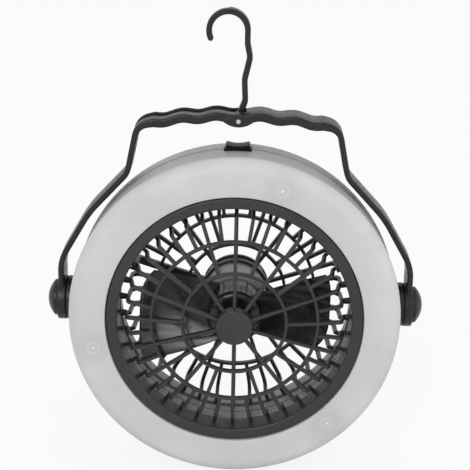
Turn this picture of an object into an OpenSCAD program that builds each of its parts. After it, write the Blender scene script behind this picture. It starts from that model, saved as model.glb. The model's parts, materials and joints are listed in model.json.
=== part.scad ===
// Portable camping fan with a ring lantern, a swinging grip handle and a fold-away hook.
// Origin: the centre of the hook's throat, where the fan hangs. +X right, +Y back, +Z up.
// Most pieces are drawn in the fan's own view: x right, y up, z towards the viewer,
// with z = 0 on the front plane of the grille rim, so depths behind it are negative.

/* [Housing] */
// Outer radius of the housing drum
shell_r = 92.6; // [88:0.1:100]
// Depth of the body behind the grille rim
body_depth = 50; // [48:0.5:60]
// Depth of the parting line between the two shells
part_depth = 28.5; // [24:0.5:31]
// Radius of the rounded rear edge
rear_edge = 10; // [4:0.5:12]
// Wall thickness of the shells
wall = 2; // [1.6:0.1:2.4]
// Visible gap at the seams
seam = 0.5; // [0.2:0.05:0.6]
// Wall thickness of the air duct
duct_wall = 1.6; // [1.2:0.1:1.8]
// Depth of the web that carries the light board
web_depth = 9; // [8.6:0.1:10]

/* [Lens ring] */
// How far the lens stands out past the drum
lens_over = 0.6; // [0:0.1:1.5]
// How far the lens face stands ahead of the grille rim
lens_proud = 1; // [0:0.1:2]
// Depth of the seam between lens and front shell
lens_depth = 6.8; // [6:0.1:8]
// Width of the lens face, from the drum in to the black rim
lens_w = 20.9; // [20:0.1:23]
// Radius of the lens shoulder
shoulder = 7.6; // [4:0.1:7.7]
// Wall thickness of the lens
lens_wall = 2; // [1.5:0.1:2.5]
// Radius of the posts behind the lens face
lens_post_r = 3; // [2.5:0.1:3.5]
// How far the posts stand out from the lens's inner edge
lens_post_in = 8.2; // [7:0.1:10]

/* [Lights] */
// Number of lamps behind the lens
lamp_count = 18; // [9:9:18]
// Radius of each lamp
lamp_r = 2.4; // [1.5:0.1:2.5]
// Thickness of the light board
board_t = 1.5; // [1:0.1:1.6]

/* [Front grille] */
// Width of the black rim
rim_w = 6.4; // [6:0.1:7.5]
// How far the rim laps over the edge of the air duct
rim_over = 4.5; // [4:0.1:5]
// Thickness of the rim
rim_t = 3; // [2:0.1:4]
// Length of the rim's skirt inside the duct
skirt_depth = 15; // [14:0.5:20]
// Width of a rib of either grille
rib_w = 2; // [1:0.1:2.4]
// Depth of a grille rib
rib_d = 3.2; // [2:0.1:3.6]
// Width of a grille ring
ring_w = 1.7; // [1.2:0.1:2.4]
// Radius of the centre cap
cap_r = 10.2; // [8:0.1:14]
// Height of the cap's face ahead of the rim
cap_front = 9.4; // [7:0.1:11]
// Space between the rim and the basket's corner
basket_gap = 4.5; // [4:0.1:6]
// From the basket's corner in to the middle ring
ring2_in = 14.4; // [10:0.1:18]
// From the middle ring in to the inner ring
ring1_in = 17.6; // [14:0.1:21]
// Ribs that run all the way from the cap to the rim
full_ribs = 10; // [6:1:12]

/* [Fan] */
// From the basket's corner in to the blades' straight tips
tip_gap = 7.1; // [6:0.1:14]
// Half the height of a blade at the hub
blade_root = 12; // [10:0.5:12.5]
// Height of a blade's leading edge above its middle, at the tip
blade_lead = 27; // [22:0.5:27.5]
// Height of a blade's trailing edge below its middle, at the tip
blade_trail = 23; // [18:0.5:25]
// Depth from a blade's leading edge to its trailing edge, at the tip
blade_rise = 13; // [8:0.5:14]
// Depth from a blade's leading edge to its trailing edge, at the hub
blade_rise_in = 21; // [16:0.5:22]
// Thickness of a blade
blade_t = 1.6; // [1:0.1:2]
// Hollow of a blade's face
blade_camber = 1.6; // [0:0.1:2]
// Number of blades
blade_count = 2; // [2:1:3]
// Radius of the fan hub
hub_r = 15.5; // [15:0.1:17]
// Wall of the fan hub
hub_wall = 1.6; // [1.2:0.1:2.4]

/* [Motor] */
// Outer radius of the motor can
motor_r = 18; // [16:0.1:18.6]
// Depth of the motor can's front face
motor_front = 31.5; // [31:0.1:33]
// Depth of the seat behind the motor
motor_seat = 60; // [58:0.5:62]
// Radius of the motor shaft
shaft_r = 1.5; // [1:0.1:2]
// Running clearance of the shaft in its bushes
shaft_gap = 0.05; // [0.02:0.01:0.09]

/* [Rear grille] */
// Depth of the rear grille's front face
rear_plane = 50.7; // [49:0.1:52]
// Depth of the rear grille's ribs
rear_rib_d = 2.8; // [2:0.1:3]
// Depth of the rear grille's mounting flange
flange_depth = 36; // [34:0.5:38]
// Thickness of that flange
flange_t = 2.6; // [2:0.1:3]
// Thickness of the plate behind the motor
seat_t = 2; // [1.6:0.1:2.6]
// Width of the rib that carries the motor's wires
wire_rib_w = 4.4; // [4:0.1:6]
// Angle of that rib from the right-hand side
wire_rib_angle = 162; // [154:2:170]

/* [Switch] */
// Width of the rocker
rocker_w = 13.6; // [10:0.2:16]
// Depth of the rocker
rocker_l = 11; // [9:0.2:13]
// Height of the rocker above the drum
rocker_h = 3.4; // [2:0.1:4]
// Travel of the rocker to each side, in degrees
rocker_angle = 7; // [4:1:8]
// Radius of the rocker's pivot pins
rocker_pin_r = 1.1; // [0.9:0.1:1.4]

/* [Batteries] */
// Radius of one cell
cell_r = 7.15; // [6.9:0.05:7.25]
// Length of one cell
cell_l = 50.5; // [48:0.5:50.5]
// Wall of the battery tray
tray_wall = 1; // [0.8:0.1:1.2]
// Gap around the battery door
door_gap = 0.35; // [0.2:0.05:0.5]

/* [Handle] */
// Height of the handle's pivots above the fan's axis
pivot_h = 1.5; // [0:0.1:2]
// Depth of the handle's pivots
pivot_depth = 31; // [30:0.1:32]
// Radius of the fixed pivot bases and of the handle's eyes
eye_r = 12.6; // [11:0.1:13]
// Thickness of a pivot base outside the drum
base_t = 4; // [3.4:0.1:5]
// Thickness of a handle eye
eye_t = 5; // [4:0.1:6]
// Radius of the journal that an eye turns on
journal_r = 4.2; // [3.6:0.1:5]
// Running clearance of an eye on its journal
journal_gap = 0.06; // [0.02:0.01:0.09]
// Radius of the domed pivot caps
dome_r = 10.4; // [9:0.1:11]
// Height of the domed pivot caps
dome_h = 5.8; // [5:0.1:7]
// Thickness of the strap
strap_t = 3.2; // [2.8:0.1:3.6]
// Depth of the strap from front to back
strap_d = 19; // [18.8:0.1:21]
// Finger room between the drum and the middle of the grip
grip_gap = 16.4; // [15:0.1:24]
// Half the width of the grip, to the corners
grip_half = 56; // [55:0.5:57]
// Space from the drum to the centre line of the handle's arms
arm_gap = 7; // [6.6:0.1:8]
// Height of the finger waves
wave_h = 0.75; // [0:0.05:1]
// Length of one finger wave
wave_l = 19; // [18:0.5:20]
// Depth of the solid rail ahead of the hook's slot
rail_d = 9.2; // [8.8:0.1:9.6]
// Width of the hook's slot
slot_w = 8.6; // [8.4:0.1:8.8]

/* [Hook] */
// Radius of the hook's throat
throat_r = 9; // [8:0.1:10]
// Thickness of the hook strap
hook_t = 3.2; // [2.6:0.1:3.4]
// Depth of the hook's stem
stem_d = 8; // [7:0.1:8]
// Depth of the hook's tip
tip_d = 5; // [4:0.1:6]
// Height of the throat above the hook's pin
throat_h = 48.1; // [46:0.1:50]
// Radius of the hook's pin
pin_r = 1.2; // [1:0.1:1.5]
// Running clearance of the hook on its pin
pin_gap = 0.05; // [0.02:0.01:0.09]
// Angle that the hook's arc covers
hook_arc = 203; // [190:1:210]

/* [Hidden] */
$fn = 96;
far = 0.01;                 // overlap that joins solids of one piece
free = 0.3;                 // gap between pieces that don't touch
fit = 0.02;                 // gap of a seat or a screw
small_fn = 32;

// shades, as the object has them
shell_grey = [0.60, 0.60, 0.61];
coal = [0.10, 0.10, 0.11];
frost = [0.86, 0.87, 0.87];
steel = [0.70, 0.70, 0.72];
board_white = [0.85, 0.86, 0.84];
copper = [0.72, 0.45, 0.25];

// levels and radii that follow from the driving sizes
drum_in = shell_r - wall;
lens_r = shell_r + lens_over;
lens_in = lens_r - lens_w;
lens_post_circle = lens_in + lens_post_in;
rim_r = lens_in - 0.4;
rim_in = rim_r - rim_w;
duct_r = rim_r - rim_over;
duct_out = duct_r + duct_wall;
basket_r = rim_in - basket_gap;
ring2_r = basket_r - ring2_in;
ring1_r = ring2_r - ring1_in;
blade_tip = basket_r - tip_gap;
grip_h = shell_r + grip_gap;
web_back = -web_depth - wall;
back = -body_depth;
board_front = -web_depth + board_t;
board_in = lens_in + lens_wall + 0.5;
board_out = drum_in - 1.6;
flange_out = duct_out - 0.1;
flange_in = duct_r - 0.6;
rear_back = -rear_plane - rear_rib_d;
post_circle = drum_in - 6.4;
post_angles = [30, 62, 118, 150, -30, -150];
lens_post_angles = [72, -48, 192];
lens_bulge = 130;           // radius of the arch across the lens face
lens_tongue = 1.3;          // thickness of the lens's tongue inside the drum
lens_screw_r = 1.2;
case_screw_r = 1.45;
motor_screw_r = 1.2;
motor_screw_at = 10;        // radius at which the motor's screws stand
bush_r = 3.5;
pivot_screw_r = 2;
pivot_screw_head = 3.6;
pivot_neck = 5;             // radius of a pivot base where it passes through the drum
terminal_x = 4.5;           // distance between the switch's terminals
terminal_t = 0.8;
seat_back = -motor_seat - seat_t;
motor_back = -motor_seat + 0.1;
shaft_front = -6.8;
lead_rise_at = basket_r + 2.6;
hub_front = -6.2;
hub_back = -29.3;
blade_top = -7;              // height of the blades' leading edges
lead_corner = 3.5;          // how far the tip's corners draw in
trail_corner = 8;
handle_front = pivot_depth - strap_d / 2;
hook_front = handle_front + rail_d + (slot_w - stem_d) / 2;
pin_h = grip_h + 0.5;
throat_x = -(throat_r + hook_t / 2) + 4.15;
base_out = shell_r + base_t;
eye_in = base_out + 0.2;
eye_out = eye_in + eye_t;
dome_in = eye_out + 0.2;

// the fan's own view, placed so that the hook's throat is the origin
module facing() {
    translate([-throat_x, -hook_front - tip_d / 2, -pin_h - throat_h]) rotate([90, 0, 0]) children();
}

// a ring about the fan's axis, between two radii and two depths
module ring(r_in, r_out, low, high) {
    rotate_extrude() translate([r_in, low]) square([r_out - r_in, high - low]);
}

// an arc of such a ring, centred on an angle
module ring_arc(r_in, r_out, low, high, mid, span) {
    rotate([0, 0, mid - span / 2])
        rotate_extrude(angle = span) translate([r_in, low]) square([r_out - r_in, high - low]);
}

// a cylinder along the fan's axis
module post(radius, low, high, segments = small_fn) {
    translate([0, 0, low]) cylinder(r = radius, h = high - low, $fn = segments);
}

// children at a radius and an angle about the fan's axis
module at_polar(radius, angle) {
    rotate([0, 0, angle]) translate([radius, 0, 0]) children();
}

// a cylinder along x, from one side position to another, at the handle's pivot
module pivot_cylinder(radius, from, to, segments = 64) {
    translate([min(from, to), pivot_h, -pivot_depth])
        rotate([0, 90, 0]) cylinder(r = radius, h = abs(to - from), $fn = segments);
}

// a rounded path: straight runs between corners, with an arc of the given radius at each inner corner
function unit(v) = v / norm(v);
function left_of(v) = [-v[1], v[0]];
function corner(a, b, c, radius) =
    let (u = unit(a - b), w = unit(c - b), half = acos(u * w) / 2,
         run = radius / tan(half), centre = b + unit(u + w) * (radius / sin(half)),
         first = b + u * run - centre, last = b + w * run - centre,
         start = atan2(first[1], first[0]),
         turn = ((atan2(last[1], last[0]) - start + 540) % 360) - 180,
         steps = max(2, ceil(abs(turn) / 9)))
    [for (i = [0 : steps]) centre + radius * [cos(start + turn * i / steps), sin(start + turn * i / steps)]];
function rounded_path(points, radii) = concat([points[0]],
    [for (i = [1 : len(points) - 2]) each corner(points[i - 1], points[i], points[i + 1], radii[i - 1])],
    [points[len(points) - 1]]);
// the outline of a strap of even thickness that follows a path
function side_of(path, distance) = [for (i = [0 : len(path) - 1])
    let (a = path[max(i - 1, 0)], b = path[min(i + 1, len(path) - 1)])
    path[i] + left_of(unit(b - a)) * distance];
function backwards(list) = [for (i = [len(list) - 1 : -1 : 0]) list[i]];
function strap_outline(path, thickness) =
    concat(side_of(path, thickness / 2), backwards(side_of(path, -thickness / 2)));

// ---------------------------------------------------------------- housing

// outline of the drum's back in section: wall, rounded edge and back plate, grown inwards by `inset`
module rear_solid(inset) {
    edge = max(rear_edge - inset, 0.5);
    side = shell_r - inset;
    low = back + inset;
    translate([duct_r, low + edge]) square([side - duct_r, -part_depth - low - edge]);
    translate([duct_r, low]) square([side - edge - duct_r, edge + far]);
    translate([side - edge, low + edge]) intersection() {
        circle(r = edge);
        translate([-far, -edge]) square([edge + far, edge + far]);
    }
}

module rear_skin() {
    rotate_extrude() difference() {
        rear_solid(0);
        translate([0, far]) rear_solid(wall);
    }
}

module front_shell() color(shell_grey) facing() difference() {
    union() {
        ring(drum_in, shell_r, -part_depth + seam, -lens_depth - seam);
        ring(duct_r, drum_in + far, web_back, -web_depth);
        ring(duct_r, duct_out, -flange_depth + 0.05, web_back + far);
        // tongue inside the rear shell
        ring(drum_in - 1.4, drum_in - 0.15, -part_depth - 2.5, -part_depth + 2);
        ring(drum_in - 1.4, drum_in + far, -part_depth + 1, -part_depth + 2.2);
        for (angle = post_angles) at_polar(post_circle, angle) post(3.4, -part_depth + 0.6, web_back + far);
    }
    for (angle = post_angles) at_polar(post_circle, angle) post(case_screw_r + fit, -part_depth, web_back - 2);
    for (angle = lens_post_angles) at_polar(lens_post_circle, angle) post(1.6, web_back - 1, 0);
    for (angle = [45 : 90 : 315]) snap_window(angle);
    switch_opening();
    pivot_holes();
    lead_hole();
    tray_space();
}

module rear_shell() color(shell_grey) facing() difference() {
    union() {
        rear_skin();
        ring(duct_r, duct_out, back, -flange_depth - flange_t - 0.05);
        for (angle = post_angles) at_polar(post_circle, angle) intersection() {
            post(4.4, back, -part_depth + 0.5);
            rotate([0, 0, -angle]) translate([-post_circle * cos(angle), -post_circle * sin(angle), 0])
                rotate_extrude() rear_solid(0.1);
        }
    }
    for (angle = post_angles) at_polar(post_circle, angle) {
        post(1.6, back - 1, 0);
        post(3, back - 1, -part_depth - 5);
    }
    door_opening();
    switch_opening();
    pivot_holes();
}

// windows in the duct wall that the grille's lugs snap into
module snap_window(angle) ring_arc(duct_r - 1, duct_out + 1, -skirt_depth + 0.8, -skirt_depth + 3.2, angle, 6);

module switch_opening() {
    translate([-rocker_w / 2 - rocker_gap, drum_in - 3, -part_depth - rocker_l / 2 - free])
        cube([rocker_w + 2 * rocker_gap, wall + 6, rocker_l + 2 * free]);
}

module pivot_holes() {
    for (side = [-1, 1]) pivot_cylinder(pivot_neck + 0.1, side * (drum_in - 6), side * (shell_r + 2));
}

module lead_hole() {
    at_polar(duct_r, wire_rib_angle) translate([-1, -2, -flange_depth]) cube([duct_wall + 2, 4, 3]);
}

// the light board's annulus, its lamps and its lens
module light_board() color(board_white) facing() difference() {
    ring(board_in, board_out, -web_depth, board_front);
    for (angle = lens_post_angles) at_polar(lens_post_circle, angle) post(1.6, -web_depth - 1, 0);
}

module lamps() color([0.95, 0.93, 0.75]) facing() {
    for (i = [0 : lamp_count - 1]) at_polar(lens_post_circle - 1, 82 + i * 360 / lamp_count) {
        post(lamp_r, board_front, board_front + 2.4);
        translate([0, 0, board_front + 2.4]) intersection() {
            sphere(r = lamp_r, $fn = small_fn);
            post(lamp_r, 0, lamp_r);
        }
    }
}

// section of the lens: a shallow channel with a rounded shoulder, grown inwards by `inset`
module lens_solid(inset, low) {
    edge = shoulder - inset;
    side = lens_r - inset;
    high = lens_proud - inset;
    inner = lens_in + inset;
    translate([inner, low]) square([side - edge - inner, high - low]);
    translate([side - edge - far, low]) square([edge + far, high - edge - low]);
    translate([side - edge, high - edge]) intersection() {
        circle(r = edge);
        translate([-far, -far]) square([edge + far, edge + far]);
    }
}

module lens_ring() color(frost) facing() difference() {
    union() {
        rotate_extrude() difference() {
            intersection() {
                lens_solid(0, -lens_depth);
                // the face bulges a little between its two edges
                translate([(lens_in + lens_r) / 2, lens_proud - lens_bulge]) circle(r = lens_bulge, $fn = 180);
            }
            translate([0, -far]) lens_solid(lens_wall, -lens_depth);
        }
        // inner wall down to the web, and the tongue inside the front shell
        ring(lens_in, lens_in + lens_wall, -web_depth + 0.1, -lens_depth + far);
        ring(drum_in - lens_tongue, drum_in - 0.15, -web_depth + 0.1, -lens_depth + 1);
        ring(drum_in - lens_tongue, lens_r - lens_wall + far, -lens_depth, -lens_depth + 1);
        for (angle = lens_post_angles) at_polar(lens_post_circle, angle)
            post(lens_post_r, board_front + 0.1, lens_proud - lens_wall + 0.3);
    }
    for (angle = lens_post_angles) at_polar(lens_post_circle, angle)
        post(lens_screw_r + fit, board_front - 1, -lens_wall - 0.6);
}

module lens_screws() color(steel) facing() {
    for (angle = lens_post_angles) at_polar(lens_post_circle, angle) {
        post(lens_screw_r, web_back - 0.1, -lens_wall - 1);
        post(2.4, web_back - 1.6, web_back - fit);
    }
}

module case_screws() color(steel) facing() {
    seat = -part_depth - 5;
    for (angle = post_angles) at_polar(post_circle, angle) difference() {
        union() {
            post(case_screw_r, seat - 0.1, web_back - 2.5);
            post(2.7, seat - 2, seat - fit);
        }
        // cross recess
        for (turn = [0, 90]) rotate([0, 0, turn]) translate([-1.5, -0.3, seat - 3]) cube([3, 0.6, 1.8]);
    }
}

// ---------------------------------------------------------------- front grille

// height of the basket's face at the cap, the rings and the corner
cap_side = cap_front - 3.8;
face1 = 2.7;
face2 = 0.2;
face3 = -2.4;
foot_low = -skirt_depth + 0.2;
foot_top = foot_low + 2.4;

// a rib in section, from a starting radius out to its own foot on the skirt
function rib_face(r) = r <= ring1_r ? lookup(r, [[cap_r, cap_side], [ring1_r, face1]])
    : lookup(r, [[ring1_r, face1], [ring2_r, face2], [basket_r - 1.8, face3]]);
module basket_rib(start) {
    stops = [for (r = [start, ring1_r, ring2_r, basket_r - 1.8]) if (r >= start) r];
    top = [for (r = stops) [r, rib_face(r)]];
    under = [for (r = backwards(stops)) [min(r, basket_r - 2.4), rib_face(r) - rib_d]];
    rotate([90, 0, 0]) translate([0, 0, -rib_w / 2]) linear_extrude(rib_w) polygon(concat(top,
        [[basket_r + 0.3, face3 - 2.2], [basket_r + 1.2, foot_top], [rim_in + 0.3, foot_top],
         [rim_in + 0.3, foot_low], [basket_r - 0.6, foot_low], [basket_r - 1.5, face3 - rib_d - 1]], under));
}

module front_grille() color(coal) facing() {
    count = full_ribs * 4;
    // rim with a softened front edge, skirt and snap lugs
    rotate_extrude() rim_section();
    for (angle = [45 : 90 : 315])
        ring_arc(duct_r - 0.6, duct_r + 0.9, -skirt_depth + 1.1, -skirt_depth + 2.9, angle, 5.4);
    grille_ring(ring1_r, face1);
    grille_ring(ring2_r, face2);
    for (i = [0 : count - 1]) rotate([0, 0, 90 + i * 360 / count])
        basket_rib(i % 4 == 0 ? cap_r - 1 : i % 2 == 0 ? ring1_r : ring2_r);
    rotate_extrude() cap_section();
}

module grille_ring(radius, face) {
    ring(radius - ring_w / 2, radius + ring_w / 2, face - rib_d - 0.1, face + 0.15);
}

module rim_section() {
    round_r = 1.2;
    translate([rim_in, -rim_t]) square([rim_r - rim_in, rim_t - round_r]);
    translate([rim_in + round_r, -rim_t]) square([rim_r - rim_in - 2 * round_r, rim_t]);
    for (r = [rim_in + round_r, rim_r - round_r]) translate([r, -round_r]) circle(r = round_r, $fn = small_fn);
    translate([rim_in, -skirt_depth]) square([duct_r - 0.2 - rim_in, skirt_depth - rim_t + far]);
}

// centre cap, hollow behind its face
module cap_section() {
    round_r = 1.2;
    low = cap_side - rib_d;
    difference() {
        union() {
            translate([0, low]) square([cap_r, cap_front - round_r - low]);
            translate([0, low]) square([cap_r - round_r, cap_front - low]);
            translate([cap_r - round_r, cap_front - round_r]) circle(r = round_r, $fn = small_fn);
        }
        translate([0, low - 1]) square([cap_r - 2, cap_front - 3 - low]);
    }
}

// ---------------------------------------------------------------- rear grille and motor

// a rear rib in section: flat across the back, then forward and out to the flange
rear_foot_top = -flange_depth - 0.1;
rear_foot_low = -flange_depth - flange_t + 0.1;
module rear_rib(start) {
    corner_r = basket_r + 0.2;
    foot_end = flange_in + 0.3;
    rotate([90, 0, 0]) translate([0, 0, -rib_w / 2]) linear_extrude(rib_w) polygon([
        [start, -rear_plane], [corner_r - 2.6, -rear_plane], [corner_r - 0.6, -rear_plane + 2.2],
        [corner_r + 0.2, rear_foot_top], [foot_end, rear_foot_top], [foot_end, rear_foot_low],
        [corner_r + 2, rear_foot_low], [corner_r + 1.4, -rear_plane + 0.8], [corner_r - 0.4, rear_back],
        [start, rear_back]]);
}

module rear_grille() color(coal) facing() {
    count = full_ribs * 4;
    difference() {
        union() {
            ring(flange_in, flange_out, -flange_depth - flange_t, -flange_depth);
            ring(motor_r + 0.05, motor_r + 1.7, rear_back, -rear_plane + 0.2);
            for (radius = [ring1_r, ring2_r])
                ring(radius - ring_w / 2, radius + ring_w / 2, rear_back, -rear_plane + 0.1);
            for (i = [0 : count - 1]) rotate([0, 0, 90 + i * 360 / count])
                rear_rib(i % 4 == 0 ? motor_r + 0.9 : i % 2 == 0 ? ring1_r : ring2_r);
            // wide rib for the wires, from the edge of the motor out to the flange
            rotate([0, 0, wire_rib_angle]) {
                translate([motor_r + 0.7, -wire_rib_w / 2, rear_back])
                    cube([basket_r - motor_r - 0.7, wire_rib_w, rear_rib_d + 0.4]);
                translate([basket_r - 1.4, -wire_rib_w / 2, rear_back])
                    cube([2.6, wire_rib_w, rear_foot_top - rear_back]);
                translate([basket_r, -wire_rib_w / 2, rear_foot_low - 0.2])
                    cube([flange_in + 0.4 - basket_r, wire_rib_w, flange_t]);
            }
            // seat behind the motor, on four struts
            post(motor_r + 1.5, seat_back, -motor_seat, 96);
            for (turn = [45 : 90 : 315])
                ring_arc(motor_r + 0.1, motor_r + 1.3, seat_back + 0.3, rear_back + 0.5, turn, 18);
        }
        post(4, seat_back - 1, -motor_seat + 1);
        for (side = [0, 180]) at_polar(motor_screw_at, side)
            post(motor_screw_r + 0.1, seat_back - 1, -motor_seat + 1);
        for (turn = [60, 120, 240, 300]) rotate([0, 0, turn]) translate([8, -1, seat_back - 1])
            cube([6, 2, seat_t + 2]);
        rotate([0, 0, wire_rib_angle]) {
            // groove that the wires lie in, open to the back
            translate([motor_r - 1, -wire_rib_w / 2 + 0.8, rear_back - 1])
                cube([basket_r - motor_r + 7, wire_rib_w - 1.6, 1 + 1.9]);
            // hole in the foot, where the wires turn forward
            translate([lead_rise_at - free, -wire_rib_w / 2 + 0.8, rear_back])
                cube([1 + 2 * free, wire_rib_w - 1.6, -flange_depth + 1 - rear_back]);
        }
    }
}

module motor_can() color([0.55, 0.55, 0.56]) facing() difference() {
    union() {
        post(motor_r, motor_back + 2.1, -motor_front - 3, 96);
        post(motor_r - 1.4, motor_back + 2.1, -motor_front, 96);
        post(6, -motor_front - 1, -motor_front + 1.4, 48);
    }
    post(motor_r - 1, motor_back, -motor_front - 4, 96);
    post(motor_r - 2.4, motor_back, -motor_front - 1, 96);
    post(bush_r + fit, -motor_front - 2, 0);
    // cooling slots
    for (turn = [30 : 60 : 330]) rotate([0, 0, turn]) translate([9, -1.2, -motor_front - 2])
        cube([motor_r, 2.4, 3 - far]);
}

module motor_end_cap() color(coal) facing() difference() {
    union() {
        post(motor_r, motor_back, motor_back + 2, 96);
        post(motor_r - 1.1, motor_back + 1, motor_back + 4, 96);
    }
    post(bush_r + fit, motor_back - 1, motor_back + 5);
    for (side = [0, 180]) at_polar(motor_screw_at, side) post(motor_screw_r + fit, motor_back - 1, motor_back + 5);
}

module motor_bushes() color(copper) facing() difference() {
    union() {
        post(bush_r, -motor_front - 3.4, -motor_front + 1.4);
        post(bush_r, motor_back - 0.6, motor_back + 4.4);
    }
    post(shaft_r + shaft_gap, motor_back - 2, 0, 48);
}

module motor_magnets() color([0.25, 0.25, 0.26]) facing() {
    for (side = [90, 270])
        ring_arc(motor_r - 4.4, motor_r - 1 - fit, motor_back + 4.6, -motor_front - 4.6, side, 130);
}

module motor_screws() color(steel) facing() {
    for (side = [0, 180]) at_polar(motor_screw_at, side) {
        post(motor_screw_r, seat_back - 0.1, motor_back + 3.6);
        post(2.2, seat_back - 1.3, seat_back - fit);
    }
}

// a flat twin lead leaves the motor's side, lies in the rib's groove, passes into the drum and
// follows the duct to the switch
module motor_leads() color([0.6, 0.08, 0.06]) facing() {
    flat = 1;
    wide = wire_rib_w - 2;
    low = rear_back + 0.3;
    rise = -flange_depth + 1;
    ride = duct_out + 1.2;
    rotate([0, 0, wire_rib_angle]) {
        translate([motor_r + fit, -wide / 2, low]) cube([lead_rise_at + flat - motor_r - fit, wide, flat]);
        translate([lead_rise_at, -wide / 2, low]) cube([flat, wide, rise + flat - low]);
        translate([lead_rise_at, -wide / 2, rise]) cube([ride + flat - lead_rise_at, wide, flat]);
    }
    // the arc ends against the switch's first terminal
    end = 90 + asin((terminal_x + terminal_t / 2 + fit) / ride);
    start = wire_rib_angle + 1;
    ring_arc(ride, ride + flat, rise, rise + wide, (start + end) / 2, start - end);
}

module motor_shaft() color(steel) facing() post(shaft_r, motor_back - 1.6, shaft_front, 48);

module armature() color(copper) facing() difference() {
    union() {
        post(6, motor_back + 5, -motor_front - 5);
        for (turn = [0 : 120 : 240]) rotate([0, 0, turn]) intersection() {
            post(motor_r - 5.2, motor_back + 6.5, -motor_front - 6.5, 64);
            translate([0, -4, motor_back]) cube([motor_r, 8, -motor_back]);
        }
    }
    post(shaft_r + fit, motor_back, 0, 48);
}

// ---------------------------------------------------------------- fan

// a blade's mid surface: it climbs from its trailing to its leading edge, more steeply at the hub,
// widens towards a tip with rounded corners and is hollowed between its edges;
// across = -1..1 from trailing to leading edge, out = 0..1 from the hub to the tip
function blade_point(out, across, side) =
    let (x_in = sqrt(pow(hub_r - 0.75 * hub_wall, 2) - pow(across * blade_root, 2)),
         x_out = blade_tip - (across > 0 ? lead_corner * pow(across, 6) : trail_corner * pow(-across, 3)),
         widening = across * ((blade_lead + blade_trail) / 2 - blade_root)
             + across * across * (blade_lead - blade_trail) / 2,
         rise = blade_rise_in + (blade_rise - blade_rise_in) * out,
         edge = 1 - 0.7 * pow(abs(across), 4))
    [x_in + out * (x_out - x_in), across * blade_root + pow(out, 0.75) * widening,
     blade_top - (1 - across) / 2 * rise - blade_camber * (1 - across * across) * out
         + side * blade_t / 2 * edge];
blade_rows = 6;
blade_cols = 12;
module blade() {
    row = blade_cols + 1;
    layer = row * (blade_rows + 1);
    points = [for (side = [-1, 1]) for (i = [0 : blade_rows]) for (j = [0 : blade_cols])
        blade_point(i / blade_rows, 2 * j / blade_cols - 1, side)];
    skin = [for (i = [0 : blade_rows - 1]) for (j = [0 : blade_cols - 1])
        let (a = i * row + j, b = a + 1, c = a + row, d = c + 1) each [[a, d, b], [a, c, d]]];
    lid = [for (t = skin) [t[0] + layer, t[2] + layer, t[1] + layer]];
    rim = concat([for (j = [0 : blade_cols]) j], [for (i = [1 : blade_rows]) i * row + blade_cols],
        [for (j = [blade_cols - 1 : -1 : 0]) blade_rows * row + j],
        [for (i = [blade_rows - 1 : -1 : 1]) i * row]);
    band = [for (k = [0 : len(rim) - 1]) let (a = rim[k], b = rim[(k + 1) % len(rim)])
        each [[a, b, b + layer], [a, b + layer, a + layer]]];
    polyhedron(points, concat(skin, lid, band));
}

module fan_rotor() color(coal) facing() {
    round_r = 3;
    difference() {
        union() {
            rotate_extrude() difference() {
                union() {
                    translate([0, hub_back]) square([hub_r, hub_front - round_r - hub_back]);
                    translate([0, hub_back]) square([hub_r - round_r, hub_front - hub_back]);
                    translate([hub_r - round_r, hub_front - round_r]) circle(r = round_r, $fn = 48);
                }
                translate([4, hub_back - 1]) square([hub_r - hub_wall - 4, hub_front - hub_back - hub_wall]);
            }
            for (i = [0 : blade_count - 1]) rotate([0, 0, i * 360 / blade_count]) blade();
        }
        post(shaft_r + fit, hub_back - 1, shaft_front + fit, 48);
    }
}

// ---------------------------------------------------------------- switch

rocker_pin_y = drum_in - 3.2;
rocker_low = rocker_pin_y - 1.9;
// room beside the rocker for its edge to swing out through the drum's wall
rocker_gap = free + (shell_r + free - rocker_pin_y) * sin(rocker_angle);
module switch_rocker() color(coal) facing() {
    low = rocker_low;
    top = shell_r + rocker_h;
    rocker_round = 18.6;
    rocker_dip = 1.2;
    // the cap's top is hollowed to a shallow arc, and its underside is round about the pins
    difference() {
        translate([-rocker_w / 2, low, -part_depth - rocker_l / 2]) cube([rocker_w, top - low, rocker_l]);
        translate([0, top + rocker_round - rocker_dip, -part_depth - rocker_l])
            cylinder(r = rocker_round, h = 2 * rocker_l, $fn = 96);
        for (side = [-1, 1]) translate([side * rocker_w / 2, low, -part_depth - rocker_l])
            rotate([0, 0, 45]) translate([-1.6, -1.6, 0]) cube([3.2, 3.2, 2 * rocker_l]);
    }
    translate([0, rocker_pin_y, 0]) post(rocker_pin_r, -part_depth - rocker_l / 2 - 1.6,
        -part_depth + rocker_l / 2 + 1.6);
}

module switch_body() color([0.16, 0.16, 0.17]) facing() {
    wide = rocker_w + 4;
    long = rocker_l + 5;
    low = rocker_pin_y - 14;
    floor_y = rocker_low - rocker_w / 2 * sin(rocker_angle) - 1;
    difference() {
        translate([-wide / 2, low, -part_depth - long / 2]) cube([wide, drum_in - 2 - low, long]);
        translate([-wide / 2 - 1, floor_y, -part_depth - rocker_l / 2 - free])
            cube([wide + 2, 20, rocker_l + 2 * free]);
        translate([0, rocker_pin_y, 0]) post(rocker_pin_r + 0.06, -part_depth - rocker_l / 2 - 1.8,
            -part_depth + rocker_l / 2 + 1.8);
    }
}

module switch_terminals() color(copper) facing() {
    low = rocker_pin_y - 14;
    drop = low - duct_out - 0.8;
    for (x = [-terminal_x, 0, terminal_x]) translate([x - terminal_t / 2, low - drop, -part_depth - 6])
        cube([terminal_t, drop - fit, 7.5]);
}

// ---------------------------------------------------------------- batteries

tray_in = duct_out + 0.2;
tray_out = drum_in - 0.7;
tray_front = -15;
tray_back = back + wall + 6;
cell_radius = tray_in + tray_wall + free + cell_r;
// a contact plate stands past each end of a cell, with its spring between them
plate_w = 9;
plate_t = 0.6;
plate_at = cell_l / 2 + 1.9;
plate_in = cell_radius - plate_w / 2;
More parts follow.
